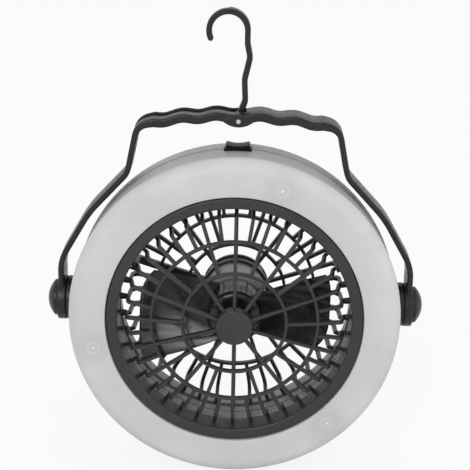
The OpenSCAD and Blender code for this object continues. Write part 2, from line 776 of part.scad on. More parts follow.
// half the angle that a pair of cells and its plates take
cell_turn = atan((plate_at + plate_t + 1.2) / plate_in);
door_angle = 4 * cell_turn + 1;
tray_span = door_angle + 3;
cell_depths = [tray_front - tray_wall - free - cell_r, tray_front - tray_wall - 2 * free - 3 * cell_r];

// room for the tray behind the front shell's tongue
module tray_space() ring_arc(tray_in - 0.1, drum_in + 0.1, back, tray_front + 0.4, -90, tray_span + 0.6);

module battery_tray() color(coal) facing() difference() {
    ring_arc(tray_in, tray_out, tray_back, tray_front, -90, tray_span);
    for (side = [-1, 1]) ring_arc(tray_in + tray_wall, tray_out - tray_wall, tray_back - 1,
        tray_front - tray_wall, -90 + side * cell_turn, 2 * cell_turn - 1.2);
}

module at_cell(side, depth) {
    rotate([0, 0, -90 + side * cell_turn]) translate([cell_radius, 0, depth]) children();
}

module battery_cells() color([0.2, 0.22, 0.3]) facing() {
    for (side = [-1, 1], i = [0, 1]) at_cell(side, cell_depths[i]) rotate([90 * (i == 0 ? 1 : -1), 0, 0])
        translate([0, 0, -cell_l / 2]) {
            cylinder(r = cell_r, h = cell_l - 1.2, $fn = 48);
            cylinder(r = 2.6, h = cell_l, $fn = small_fn);
        }
}

// the plates stand on the tray's floor
module battery_plates() color(steel) facing() {
    for (side = [-1, 1], end = [-1, 1]) rotate([0, 0, -90 + side * cell_turn])
        translate([plate_in, end * (plate_at + plate_t / 2) - plate_t / 2, cell_depths[1] - 5])
            cube([plate_w, plate_t, tray_front - tray_wall - fit - cell_depths[1] + 5]);
}

module battery_springs() color(steel) facing() {
    wire = 0.35;
    for (side = [-1, 1], i = [0, 1]) at_cell(side, cell_depths[i])
        rotate([90 * (i == 0 ? -1 : 1), 0, 0]) translate([0, 0, cell_l / 2]) {
            for (turn = [0 : 1]) translate([0, 0, 0.45 + turn * 0.9])
                rotate_extrude($fn = small_fn) translate([3 + turn, 0]) circle(r = wire, $fn = 16);
            translate([3.3, 0, 0.4]) rotate([0, 30, 0]) cylinder(r = wire, h = 1.1, $fn = 16);
        }
}

// the door is a piece of the drum's own back, with a tongue on its inner edge and a finger notch
door_in = tray_in + 1.2;
door_out = shell_r - 4.2;
module door_outline(gap, low, high) {
    // the gap is as wide at the door's ends as along its edges
    ring_arc(door_in - gap, door_out + gap, low, high, -90, door_angle + 2 * gap / door_out * 180 / PI);
}

module door_opening() door_outline(0, back - 1, back + 14);

module battery_door() color(shell_grey) facing() {
    difference() {
        union() {
            intersection() {
                rear_skin();
                door_outline(-door_gap, back - 1, back + 14);
            }
            // ribs that keep the cells down
            for (radius = [cell_radius - 4, cell_radius + 3]) ring_arc(radius, radius + 1, back + wall - far,
                back + wall + 1.8, -90, door_angle - 12);
        }
        // finger notch at the rim
        rotate([0, 0, -90]) translate([door_out + 1, 0, back - 3]) sphere(r = 6.5, $fn = 48);
        // grip lines beside the notch
        for (i = [0 : 3]) ring_arc(door_out - 12 + i * 1.6, door_out - 11.2 + i * 1.6, back - 1, back + 0.5, -90, 9);
    }
}

// ---------------------------------------------------------------- handle pivots

module pivot_base(side) color(coal) facing() difference() {
    union() {
        difference() {
            pivot_cylinder(eye_r, side * (drum_in - 8), side * base_out, 96);
            post(shell_r + fit, back - 20, 20, 192);
        }
        pivot_cylinder(pivot_neck, side * (drum_in - 5), side * (base_out - 1));
        pivot_cylinder(journal_r, side * (base_out - 1), side * (eye_out + 0.1));
    }
    pivot_cylinder(pivot_screw_r + 0.1, side * (drum_in - 10), side * (eye_out + 1), small_fn);
}

module pivot_base_left() pivot_base(-1);
module pivot_base_right() pivot_base(1);

module friction_washers() color(steel) facing() {
    for (side = [-1, 1]) difference() {
        pivot_cylinder(9, side * (base_out + fit), side * (eye_in - fit), 64);
        pivot_cylinder(journal_r + 0.1, side * (base_out - 1), side * (eye_in + 1), 64);
    }
}

module pivot_screws() color(steel) facing() {
    for (side = [-1, 1]) {
        pivot_cylinder(pivot_screw_r, side * (drum_in - 9), side * (eye_out + 1), small_fn);
        pivot_cylinder(pivot_screw_head, side * (eye_out + 0.15), side * (eye_out + 2.6), small_fn);
    }
}

module pivot_nuts() color(steel) facing() {
    for (side = [-1, 1]) difference() {
        translate([side * (drum_in - 6.6), pivot_h, -pivot_depth]) rotate([0, 90, 0])
            cylinder(r = 4.2, h = 3, center = true, $fn = 6);
        pivot_cylinder(pivot_screw_r + fit, side * (drum_in - 10), side * drum_in, small_fn);
    }
}

// domed cap, hollow over the screw's head
module pivot_cap(side) color(coal) facing() {
    rim_h = 1.6;
    rise = dome_h - rim_h;
    dome_ball = (dome_r * dome_r + rise * rise) / (2 * rise);
    translate([side * dome_in, pivot_h, -pivot_depth]) rotate([0, side * 90, 0])
        rotate_extrude() difference() {
            union() {
                square([dome_r, rim_h]);
                intersection() {
                    translate([0, dome_h - dome_ball]) circle(r = dome_ball, $fn = 180);
                    translate([0, rim_h - far]) square([dome_r, dome_h]);
                }
            }
            translate([-1, -1]) square([1 + pivot_screw_head + fit, 1 + eye_out + 2.6 + fit - dome_in]);
        }
}

module pivot_cap_left() pivot_cap(-1);
module pivot_cap_right() pivot_cap(1);

// ---------------------------------------------------------------- handle

strap_x = eye_in + eye_t / 2;
slot_drop = 22;             // how far below the grip the hook's slot ends
hook_eye = 3;               // outer radius of the hook's eye
grip_arch = 0.0019;         // fall of the grip per square millimetre from its middle
function grip_y(x) = grip_h + strap_t / 2 - grip_arch * x * x + wave_h * cos(360 * (x - 12.5) / wave_l);
grip_end = grip_half - 9;
// one side of the handle's centre line: the middle of the grip, its corner, the point where the arm
// meets the drum's curve, a point along that curve, and straight down to the eye
arm_r = shell_r + arm_gap;
function half_path() = concat([for (x = [0 : 2 : grip_end - 1]) [x, grip_y(x)]],
    rounded_path([[grip_end, grip_y(grip_end)], [grip_half, grip_h - 3.6], arm_r * [cos(52), sin(52)],
        arm_r * [cos(33.5), sin(33.5)], [strap_x, pivot_h + eye_r * 2], [strap_x, pivot_h]], [8, 12, 60, 24]));
function mirrored(path) = [for (p = backwards(path)) [-p[0], p[1]]];

module handle() color(coal) facing() {
    right = half_path();
    path = concat(mirrored(right), [for (i = [1 : len(right) - 1]) right[i]]);
    difference() {
        union() {
            translate([0, 0, -handle_front - strap_d]) linear_extrude(strap_d)
                polygon(strap_outline(path, strap_t));
            for (side = [-1, 1]) pivot_cylinder(eye_r, side * eye_in, side * eye_out, 96);
            // swelling round the hook's pin, on the front rail and on the rear wall
            pin_boss(-handle_front - rail_d, rail_d);
            pin_boss(-handle_front - strap_d, strap_d - rail_d - slot_w);
        }
        // the slot that the folded hook lies in, from just past its eye to the arm
        translate([-grip_half - slot_drop, grip_h - slot_drop, -handle_front - rail_d - slot_w])
            cube([grip_half + slot_drop + hook_eye + 1.4, 2 * slot_drop, slot_w]);
        for (side = [-1, 1]) pivot_cylinder(journal_r + journal_gap, side * (eye_in - 1), side * (eye_out + 1));
        translate([0, pin_h, 0]) post(pin_r + fit, -handle_front - strap_d - 1, 0);
    }
}

// a lens-shaped swelling, as high as the hook's eye
module pin_boss(low, depth) {
    bulge = 30;
    rise = hook_eye + 0.1;
    translate([0, pin_h, low]) linear_extrude(depth) intersection() {
        translate([0, bulge - rise]) circle(r = bulge, $fn = 180);
        translate([0, rise - bulge]) circle(r = bulge, $fn = 180);
    }
}

module hook_pin() color(steel) facing() translate([0, pin_h, 0]) {
    post(pin_r, -handle_front - strap_d - 0.3, -handle_front + 0.3);
}

// ---------------------------------------------------------------- hook

// centre line of the stem, with two soft waves, from the pin to the throat's side
hook_stem = rounded_path([[0, 0.5], [3.5, 9], [2.9, 21], [5.7, 33.5], [4.15, 41], [4.15, throat_h]],
    [7, 14, 7, 10]);

module hook() color(coal) facing() translate([0, pin_h, -hook_front]) {
    mid_r = throat_r + hook_t / 2;
    difference() {
        union() {
            translate([0, 0, -stem_d]) linear_extrude(stem_d) polygon(strap_outline(hook_stem, hook_t));
            post(hook_eye, -stem_d, 0, 48);
            // the arc over the throat, from the stem round to the rounded tip
            translate([throat_x, throat_h, 0]) {
                rotate_extrude(angle = hook_arc) translate([throat_r, -stem_d]) square([hook_t, stem_d]);
                rotate([0, 0, hook_arc]) translate([mid_r, 0, 0]) post(hook_t / 2 - far, -stem_d, 0, 48);
            }
        }
        // the tip's side is less deep than the stem's, from the crown on
        translate([throat_x - 2 * throat_r, throat_h - 2 * throat_r, -stem_d - 1])
            cube([2 * throat_r, 4 * throat_r, stem_d - tip_d + 1]);
        post(pin_r + pin_gap, -stem_d - 1, 1, 48);
    }
}

front_shell();
rear_shell();
lens_ring();
front_grille();
rear_grille();
light_board();
lamps();
lens_screws();
case_screws();
motor_can();
motor_end_cap();
motor_magnets();
motor_bushes();
motor_screws();
motor_leads();
motor_shaft();
armature();
fan_rotor();
switch_body();
switch_terminals();
switch_rocker();
battery_tray();
battery_cells();
battery_plates();
battery_springs();
battery_door();
pivot_base_left();
pivot_base_right();
friction_washers();
pivot_screws();
pivot_nuts();
pivot_cap_left();
pivot_cap_right();
handle();
hook_pin();
hook();
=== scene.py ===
"""Dresses the portable camping fan: frosted light ring, domed grille, rotor, wavy grip and hook.

Run as a script, it builds every piece around the loaded frame, in metres. Pieces are worked out in
the fan's own view: x right, y up, z towards the viewer, with z = 0 on the front plane of the
grille's rim.
"""

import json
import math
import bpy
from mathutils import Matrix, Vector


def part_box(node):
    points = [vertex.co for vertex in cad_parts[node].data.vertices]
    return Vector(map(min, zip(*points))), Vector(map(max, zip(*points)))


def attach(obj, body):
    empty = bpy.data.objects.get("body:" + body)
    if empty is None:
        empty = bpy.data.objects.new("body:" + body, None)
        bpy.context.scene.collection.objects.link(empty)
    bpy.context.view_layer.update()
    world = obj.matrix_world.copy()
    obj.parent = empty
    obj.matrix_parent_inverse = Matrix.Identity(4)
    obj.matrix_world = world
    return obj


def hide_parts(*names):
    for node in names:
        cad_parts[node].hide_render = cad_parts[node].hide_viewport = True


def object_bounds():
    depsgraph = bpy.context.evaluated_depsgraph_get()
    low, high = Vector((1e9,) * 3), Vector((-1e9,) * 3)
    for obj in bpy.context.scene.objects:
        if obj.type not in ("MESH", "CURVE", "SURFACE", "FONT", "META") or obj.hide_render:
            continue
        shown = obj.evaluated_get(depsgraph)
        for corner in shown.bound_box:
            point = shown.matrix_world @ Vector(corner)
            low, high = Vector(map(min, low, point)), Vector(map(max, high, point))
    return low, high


bl_info = {
    "name": "Camping Fan Dresser",
    "version": (1, 0, 0),
    "blender": (4, 5, 0),
    "location": "View3D > Sidebar > Camping Fan",
    "description": "Builds the visible pieces and finishes of a camping fan with a ring lantern",
    "category": "Add Mesh",
}

import bmesh
import bpy
import numpy as np
from bpy.props import FloatProperty, FloatVectorProperty, IntProperty, PointerProperty
from bpy.types import Operator, Panel, PropertyGroup
from mathutils import Matrix, Vector

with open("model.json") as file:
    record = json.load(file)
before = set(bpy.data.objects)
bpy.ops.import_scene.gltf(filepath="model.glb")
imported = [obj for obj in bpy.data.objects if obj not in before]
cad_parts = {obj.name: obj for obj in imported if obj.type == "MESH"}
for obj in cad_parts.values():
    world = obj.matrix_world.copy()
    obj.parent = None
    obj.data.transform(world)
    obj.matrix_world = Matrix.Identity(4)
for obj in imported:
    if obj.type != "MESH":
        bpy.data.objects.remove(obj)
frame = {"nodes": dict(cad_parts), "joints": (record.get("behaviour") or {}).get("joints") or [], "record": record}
CAD_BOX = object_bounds()
JOINTS = {joint["name"]: joint for joint in frame["joints"]}
MM = 0.001
FAN_X, _, FAN_Z = JOINTS["fan_spin"]["pos_m"]
PIVOT = JOINTS["handle_swing"]["pos_m"]
PIN = JOINTS["hook_fold"]["pos_m"]
ROCKER = JOINTS["rocker_tilt"]["pos_m"]
LENS_PROUD = 1.0 * MM
MERGE_WITHIN = 1e-7
RIM_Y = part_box("lens_ring")[0].y + LENS_PROUD


# ------------------------------------------------------------------ sizes and colours


def length(name, description, millimetres):
    return FloatProperty(name=name, description=description, default=millimetres * MM,
                         unit="LENGTH", subtype="DISTANCE", precision=5)


def turn(name, description, degrees):
    return FloatProperty(name=name, description=description, default=math.radians(degrees),
                         subtype="ANGLE")


def colour(name, description, value):
    return FloatVectorProperty(name=name, description=description, default=value, size=3,
                               min=0.0, max=1.0, subtype="COLOR")


class CampFanLensSizes(PropertyGroup):
    outer_r: length("Outer radius", "Outer radius of the light ring's lens", 93.2)
    inner_r: length("Inner radius", "Inner radius of the lens, beside the black rim", 72.3)
    shoulder_r: length("Shoulder", "Radius of the lens's rounded shoulder", 7.6)
    face_r: length("Face curve", "Radius of the shallow arch across the lens face", 130)
    wall: length("Wall", "Thickness of the lens", 2)
    depth: length("Depth", "Depth of the seam between lens and drum", 6.8)
    post_r: length("Post radius", "Radius of a screw post behind the lens", 3)
    post_circle: length("Post circle", "Radius of the circle that the posts stand on", 80.5)


class CampFanGrilleSizes(PropertyGroup):
    rim_r: length("Rim radius", "Outer radius of the black rim", 71.9)
    rim_in: length("Rim inside", "Inner radius of the black rim", 65.5)
    rim_t: length("Rim thickness", "Thickness of the rim", 3)
    skirt_r: length("Skirt radius", "Outer radius of the skirt inside the duct", 67.2)
    skirt_depth: length("Skirt depth", "Length of the skirt", 15)
    rib_w: length("Rib width", "Width of a rib", 2)
    rib_d: length("Rib depth", "Depth of a rib", 3.2)
    leg_d: length("Leg depth", "Depth of a rib in its leg and foot", 2)
    ring_w: length("Ring width", "Width of a ring", 1.7)
    cap_r: length("Cap radius", "Radius of the centre cap", 10.2)
    cap_front: length("Cap height", "Height of the cap's face ahead of the rim", 9.4)
    ring1_r: length("Inner ring", "Radius of the inner ring", 29)
    ring2_r: length("Middle ring", "Radius of the middle ring", 46.6)
    basket_r: length("Basket corner", "Radius of the basket's corner", 61)
    foot_depth: length("Foot depth", "Depth of the front of a rib's foot", 12.4)
    ribs: IntProperty(name="Full ribs", description="Ribs that run all the way from the cap",
                      default=10, min=4)


class CampFanRotorSizes(PropertyGroup):
    hub_r: length("Hub radius", "Radius of the hub", 15.5)
    hub_front: length("Hub front", "Depth of the hub's front face", 6.2)
    hub_back: length("Hub back", "Depth of the hub's open back", 29.3)
    tip: length("Tip", "From the axis to a blade's straight tip", 53.9)
    root_half: length("Root height", "Half the height of a blade at the hub", 12)
    lead: length("Leading height", "Leading edge above the blade's middle, at the tip", 27)
    trail: length("Trailing height", "Trailing edge below the blade's middle, at the tip", 23)
    lead_corner: length("Leading corner", "How far the tip's leading corner draws in", 3.5)
    trail_corner: length("Trailing corner", "How far the tip's trailing corner draws in", 8)
    front: length("Blade depth", "Depth of a blade's leading edge", 7)
    rise: length("Tip rise", "Depth from the leading edge to the trailing edge, at the tip", 13)
    rise_in: length("Hub rise", "Depth from the leading edge to the trailing edge, at the hub", 21)
    thick: length("Blade thickness", "Thickness of a blade", 1.6)
    camber: length("Camber", "Hollow of a blade's face", 1.6)
    blades: IntProperty(name="Blades", description="Number of blades", default=2, min=1)


class CampFanHandleSizes(PropertyGroup):
    front: length("Front", "Depth of the handle's front edge", 21.5)
    strap_t: length("Strap thickness", "Thickness of the strap", 3.2)
    strap_d: length("Strap depth", "Depth of the strap from front to back", 19)
    rail_d: length("Rail depth", "Depth of the rail ahead of the hook's slot", 9.2)
    slot_w: length("Slot width", "Width of the hook's slot", 8.6)
    grip_h: length("Grip height", "Height of the grip's underside above the fan's axis", 109)
    grip_half: length("Half width", "Half the width of the grip, to the corners", 56)
    wave_h: length("Wave height", "Height of the finger waves", 0.75)
    crown: length("Crown", "How much thicker the grip is than the arms", 1.6)
    wave_l: length("Wave length", "Length of one finger wave", 19)
    arm_r: length("Arm radius", "Radius at which the arms pass round the drum", 99.6)
    eye_r: length("Eye radius", "Radius of the eyes and of the fixed bases", 12.6)
    eye_in: length("Eye inside", "Inner side of an eye, from the fan's axis", 96.8)
    eye_out: length("Eye outside", "Outer side of an eye, from the fan's axis", 101.8)
    dome_r: length("Cap radius", "Radius of the domed caps", 10.4)
    dome_h: length("Cap height", "Height of the domed caps", 5.8)


class CampFanHookSizes(PropertyGroup):
    throat_r: length("Throat radius", "Radius of the hook's throat", 9)
    throat_h: length("Throat height", "Height of the throat above the pin", 48.1)
    strap_t: length("Strap thickness", "Thickness of the hook's strap", 3.2)
    stem_d: length("Stem depth", "Depth of the stem", 8)
    tip_d: length("Tip depth", "Depth of the tip's side", 5)
    arc: turn("Arc", "Angle that the hook's arc covers", 203)


class CampFanSwitchSizes(PropertyGroup):
    width: length("Width", "Width of the rocker", 13.6)
    depth: length("Depth", "Depth of the rocker from front to back", 11)
    top: length("Top", "Height of the rocker's ends above its pins", 8.6)
    low: length("Underside", "Depth of the rocker's underside below its pins", 1.9)
    dip: length("Dip", "Hollow of the rocker's top", 1.2)


class CampFanFinishes(PropertyGroup):
    shell: colour("Shell", "Satin grey of the drum", (0.43, 0.43, 0.435))
    lens: colour("Lens", "Frosted lens", (0.60, 0.605, 0.61))
    grille: colour("Grille", "Charcoal of the grille", (0.032, 0.033, 0.035))
    gloss: colour("Handle", "Black of the handle, hook and knobs", (0.018, 0.018, 0.020))
    rotor: colour("Rotor", "Gloss black of the rotor", (0.010, 0.010, 0.011))
    steel: colour("Steel", "Plated steel", (0.62, 0.62, 0.64))


class CampFanStage(PropertyGroup):
    distance: length("Distance", "From the camera to its target", 761.6)
    target_right: length("Target right", "Camera's target, right of the fan's axis", -0.49)
    target_up: length("Target up", "Camera's target, above the fan's axis", 51.1)
    pitch: turn("Pitch", "How far the camera looks down", 17.7)
    yaw: turn("Yaw", "How far the camera stands to the right", 0.5)
    roll: turn("Roll", "Turn of the camera about its own axis", 1.1)
    focal: FloatProperty(name="Focal length", description="Focal length in millimetres",
                         default=106.8)
    world: FloatProperty(name="World", description="Strength of the light from above",
                         default=0.85, min=0.0)
    key: FloatProperty(name="Key", description="Power of the main lamp", default=9.0, min=0.0,
                       unit="POWER")
    fill: FloatProperty(name="Fill", description="Power of the side lamp", default=4.0, min=0.0,
                        unit="POWER")


# ------------------------------------------------------------------ surfaces


def unit(v):
    return v / np.linalg.norm(v, axis=-1, keepdims=True)


def placed(points):
    """Fan view to world: x stays right, y goes up, and z comes forward, against +Y."""
    x, y, z = np.moveaxis(np.asarray(points, float), -1, 0)
    return np.stack([FAN_X + x, RIM_Y - z, FAN_Z + y], -1)


def rounded(points, radii, closed=False, steps=6):
    """Straight runs joined by arcs. An arc of radius R touches both runs R / tan(half) from the
    corner, where half is half the angle between them, and its centre lies R / sin(half) away on the
    bisector."""
    p = np.asarray(points, float)
    count = len(p)
    t = np.linspace(0, 1, steps + 1)[:, None]
    runs = []
    for i, radius in enumerate(radii):
        if radius <= 0 or (not closed and i in (0, count - 1)):
            runs.append(p[i][None])
            continue
        before, after = unit(p[i - 1] - p[i]), unit(p[(i + 1) % count] - p[i])
        half = math.acos(float(np.clip(before @ after, -1, 1))) / 2
        centre = p[i] + unit(before + after) * radius / math.sin(half)
        first = p[i] + before * radius / math.tan(half) - centre
        last = p[i] + after * radius / math.tan(half) - centre
        sweep = math.pi - 2 * half
        blend = np.sin((1 - t) * sweep) * first + np.sin(t * sweep) * last
        runs.append(centre + blend / math.sin(sweep))
    return np.vstack(runs)


def rounded_box(low, high, radius, steps=4):
    """A rectangle between two corners, with four equal round corners."""
    (x0, y0), (x1, y1) = low, high
    return rounded([(x0, y0), (x1, y0), (x1, y1), (x0, y1)], [radius] * 4, True, steps)


def turned(points, angle):
    """Points turned about the fan's axis; with an array of angles, one turned copy for each."""
    angle = np.asarray(angle, float)
    c, s = np.cos(angle)[..., None, None], np.sin(angle)[..., None, None]
    x, y, z = np.moveaxis(points, -1, 0)
    return np.stack([x * c - y * s, x * s + y * c, z + 0 * c], -1)


def revolved(profile, turns):
    """A profile of (radius, depth) carried round the fan's axis: (r cos t, r sin t, z)."""
    t = np.linspace(0, math.tau, turns, endpoint=False)[:, None]
    r, z = np.asarray(profile).T
    return np.stack([r * np.cos(t), r * np.sin(t), z + 0 * t], -1)


def swept(path, section):
    """A section carried along a flat path: point = path + normal * up, with `across` out of the
    plane. path is n x 2; section is m x 2 or n x m x 2, as (across, up)."""
    path = np.asarray(path, float)
    tangent = unit(np.gradient(path, axis=0))
    normal = np.stack([-tangent[:, 1], tangent[:, 0]], -1)
    section = np.broadcast_to(section, (len(path),) + np.shape(section)[-2:])
    flat = path[:, None] + normal[:, None] * section[..., 1:2]
    return np.concatenate([flat, section[..., 0:1]], -1)


class Shape:
    """Closed surfaces that make up one piece."""

    def __init__(self):
        self.points, self.faces, self.count = [], [], 0

    def add(self, grid, wrap_rows=False, wrap_columns=True, ends=False):
        """Adds a grid of points, rows x columns x 3, as four-sided faces that look outwards."""
        grid = np.asarray(grid, float)
        rows, columns, _ = grid.shape
        i = np.arange(rows if wrap_rows else rows - 1)[:, None]
        j = np.arange(columns if wrap_columns else columns - 1)[None]
        i2, j2 = (i + 1) % rows, (j + 1) % columns
        near, far = i * columns, i2 * columns
        quads = np.stack([near + j, near + j2, far + j2, far + j], -1).reshape(-1, 4)
        flat = grid.reshape(-1, 3)
        faces, caps = quads, []
        if ends:
            ring = np.arange(columns)
            caps = [ring[::-1], ring + (rows - 1) * columns]
        if self.volume(flat, quads, caps) < 0:
            faces, caps = quads[:, ::-1], [cap[::-1] for cap in caps]
        self.faces += (faces + self.count).tolist()
        self.faces += [(cap + self.count).tolist() for cap in caps]
        self.points.append(flat)
        self.count += len(flat)
        return self

    @staticmethod
    def volume(points, quads, caps):
        """Six times the signed volume: the sum of a . (b x c) over the triangles, from the middle
        of the points. Its sign tells whether the faces look outwards."""
        p = points - points.mean(0)
        a, b, c, d = (p[quads[:, k]] for k in range(4))
        total = np.einsum("ij,ij->", a, np.cross(b, c)) + np.einsum("ij,ij->", a, np.cross(c, d))
        for cap in caps:
            q = p[cap]
            total += np.einsum("j,ij->", q[0], np.cross(q[1:-1], q[2:]))
        return total

    def repeated(self, grid, angles, **kinds):
        """One copy of a closed grid at each angle about the fan's axis."""
        rows, columns, _ = grid.shape
        for copy in turned(grid.reshape(-1, 3), np.asarray(angles)):
            self.add(copy.reshape(rows, columns, 3), **kinds)
        return self

    def solid(self, name, body, slot, *nodes, sharp=32.0):
        """Makes the piece's mesh and sets what it rides on, its finish and the nodes that it
        replaces. Edges sharper than `sharp` degrees stay crisp."""
        mesh = bpy.data.meshes.new(name)
        mesh.from_pydata(placed(np.vstack(self.points)).tolist(), [], self.faces)
        work = bmesh.new()
        work.from_mesh(mesh)
        bmesh.ops.remove_doubles(work, verts=work.verts, dist=MERGE_WITHIN)
        work.to_mesh(mesh)
        work.free()
        mesh.shade_smooth()
        mesh.set_sharp_from_angle(angle=math.radians(sharp))
        piece = bpy.data.objects.new(name, mesh)
        bpy.context.scene.collection.objects.link(piece)
        mesh.materials.append(finish_for(slot))
        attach(piece, body)
        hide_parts(*nodes)


# ------------------------------------------------------------------ finishes


class Field:
    """A value that varies over a surface. Arithmetic on it adds Math nodes to its tree."""

    def __init__(self, nodes, socket):
        self.nodes, self.socket = nodes, socket

    def math(self, operation, *others):
        return self.nodes.add("ShaderNodeMath", {"operation": operation},
                              dict(enumerate((self,) + others)))

    def __add__(self, other):
        return self.math("ADD", other)

    def __sub__(self, other):
        return self.math("SUBTRACT", other)

    def __rsub__(self, other):
        return self.nodes.add("ShaderNodeMath", {"operation": "SUBTRACT"}, {0: other, 1: self})

    def __mul__(self, other):
        return self.math("MULTIPLY", other)

    __radd__, __rmul__ = __add__, __mul__


class Nodes:
    """Adds nodes to one node tree."""

    def __init__(self, tree):
        self.tree = tree

    def add(self, kind, settings=None, inputs=None, output=0):
        """Adds a node: its settings first, then the values or links of its sockets."""
        node = self.tree.nodes.new(kind)
        for key, value in (settings or {}).items():
            setattr(node, key, value)
        for key, value in (inputs or {}).items():
            self.feed(node.inputs[key], value)
        return Field(self, node.outputs[output])

    def feed(self, socket, value):
        if isinstance(value, Field):
            self.tree.links.new(value.socket, socket)
        elif socket.type == "RGBA":
            socket.default_value = tuple(value) + (1.0,)
        else:
            socket.default_value = value

    def surface(self, shader):
        """Puts a shader on the material's surface."""
        output = self.tree.nodes.new("ShaderNodeOutputMaterial")
        self.tree.links.new(shader, output.inputs["Surface"])


class Finish(Nodes):
    """The node tree of one material, built around a Principled shader."""

    def __init__(self, name, **sockets):
        self.material = bpy.data.materials.new(name)
        self.material.use_nodes = True
        super().__init__(self.material.node_tree)
        self.tree.nodes.clear()
        self.shader = self.tree.nodes.new("ShaderNodeBsdfPrincipled")
        self.surface(self.shader.outputs[0])
        for socket, value in sockets.items():
            self.set(socket.replace("_", " "), value)

    def set(self, name, value):
        self.feed(self.shader.inputs[name], value)

    def where(self, scale=(1, 1, 1), centre=(0, 0, 0)):
        """Object coordinates, moved and scaled by a Mapping node."""
        place = self.add("ShaderNodeTexCoord", output="Object")
        shift = tuple(-c * s for c, s in zip(centre, scale))
        return self.add("ShaderNodeMapping", {},
                        {"Vector": place, "Location": shift, "Scale": scale})

    def coordinate(self, place, index):
        """One of a place's three coordinates: 0 is x, 1 is y, 2 is z."""
        return self.add("ShaderNodeSeparateXYZ", {}, {0: place}, output=index)

    def noise(self, scale, detail, stretch=(1, 1, 1)):
        """Cloudy noise from 0 to 1, with about `scale` cells a metre."""
        return self.add("ShaderNodeTexNoise", {}, {"Vector": self.where(stretch), "Scale": scale,
                                                   "Detail": detail})

    def between(self, value, low, high, to_low=0.0, to_high=1.0):
        """A smooth step from to_low to to_high as the value goes from low to high."""
        return self.add("ShaderNodeMapRange", {"interpolation_type": "SMOOTHSTEP"},
                        {"Value": value, "From Min": low, "From Max": high,
                         "To Min": to_low, "To Max": to_high})

    def mixed(self, factor, first, second):
        """A colour on the way from the first to the second."""
        return self.add("ShaderNodeMix", {"data_type": "RGBA"}, {0: factor, 6: first, 7: second},
                        output=2)

    def bumped(self, height, distance):
        """Puts a Bump node on the shader's Normal and gives the material. Height is in units of
        `distance` metres."""
        self.set("Normal", self.add("ShaderNodeBump", {}, {"Height": height, "Distance": distance}))
        return self.material


def shade(value, factor):
    return tuple(min(c * factor, 1.0) for c in value)


def moulded(name, value, rough, grain=0.00002, mottle=0.12, gloss=0.5, seams=()):
    """Injection-moulded plastic: a fine spark grain, soft cloudiness, faint handling marks in its
    gloss. Painted shade darkens a narrow band along the drum's seams, at the given depths behind
    the rim: it stands in for the shadow in the gap between the parts."""
    f = Finish(name, Specular_IOR_Level=gloss)
    cloud = f.noise(45.0, 4.0)
    specks = f.noise(900.0, 2.0)
    rubs = f.noise(160.0, 5.0, (1.0, 1.0, 6.0))
    base = f.mixed(f.between(cloud * 0.7 + specks * 0.3, 0.35, 0.65), shade(value, 1 - mottle),
                   shade(value, 1 + mottle))
    # Painted shade: each seam gets a dark band, full within 0.35 mm and gone by 0.95 mm, standing in for the
    # shadow in the gap between the drum's parts.
    seam_inner, seam_outer, seam_shade_strength, seam_shade = 0.35 * MM, 0.95 * MM, 0.85, 0.12
    for depth in seams:
        along_axis = f.coordinate(f.add("ShaderNodeTexCoord", output="Object"), 1)
        off = (along_axis - (RIM_Y + depth)).math("ABSOLUTE")
        base = f.mixed(f.between(off, seam_inner, seam_outer, seam_shade_strength, 0.0), base,
                       shade(value, seam_shade))
    f.set("Base Color", base)
    f.set("Roughness", f.between(rubs, 0.35, 0.7, rough - 0.05, rough + 0.07))
    return f.bumped(f.noise(2600.0, 2.0), grain)


def frosted(name, value, lens):
    """Frosted lens: cloudy depth, painted shade that darkens the face towards its inner edge so that
    it is paler towards the shoulder, and three screw posts behind it, painted on as they would
    show through. A post is a dot and a ring of painted light within a soft halo of painted shade,
    drawn by the distance sqrt((r - circle)^2 + (circle * angle)^2) from its centre."""
    f = Finish(name, Specular_IOR_Level=0.35, Subsurface_Weight=0.25, Subsurface_Scale=0.004)
    place = f.where(centre=(FAN_X, RIM_Y, FAN_Z))
    x, z = f.coordinate(place, 0), f.coordinate(place, 2)
    radius = (x * x + z * z).math("SQRT")
    # the posts repeat three times round, so the angle is folded into one third
    first_post = math.radians(72)
    third = math.tau / 3
    angle = z.math("ARCTAN2", x) - first_post
    folded = (angle + third / 2).math("WRAP", third, 0.0) - third / 2
    off = radius - lens.post_circle
    along = folded * lens.post_circle
    post = (off * off + along * along).math("SQRT")
    # Painted light and shade of the posts: a pale dot and a pale ring inside a dark halo.
    dot = f.between(post, lens.post_r * 0.12, lens.post_r * 0.5, 1.0, 0.0)
    inside = f.between(post, lens.post_r * 1.05, lens.post_r * 1.35, 1.0, 0.0)
    ring = f.between(post, lens.post_r * 0.8, lens.post_r) * inside
    halo = f.between(post, lens.post_r * 1.2, lens.post_r * 5, 1.0, 0.0)
    cloud = f.noise(28.0, 3.0)
    # Painted shade: the face darkens towards its inner edge, beside the black rim.
    paler = f.between(radius, lens.inner_r, lens.outer_r - lens.shoulder_r * 0.5)
    base = f.mixed(f.between(cloud, 0.3, 0.7), shade(value, 0.94), shade(value, 1.04))
    base = f.mixed(paler, f.mixed(0.5, base, shade(value, 0.9)), base)
    # Painted shade of the halos first, then painted light of the rings and dots.
    base = f.mixed(halo * 0.5, base, shade(value, 0.80))
    base = f.mixed(ring * 0.45, base, shade(value, 1.15))
    base = f.mixed(dot * 0.7, base, shade(value, 1.3))
    f.set("Base Color", base)
    f.set("Roughness", f.between(f.noise(140.0, 4.0), 0.3, 0.7, 0.42, 0.52))
    return f.bumped(f.noise(2200.0, 2.0), 0.00002)


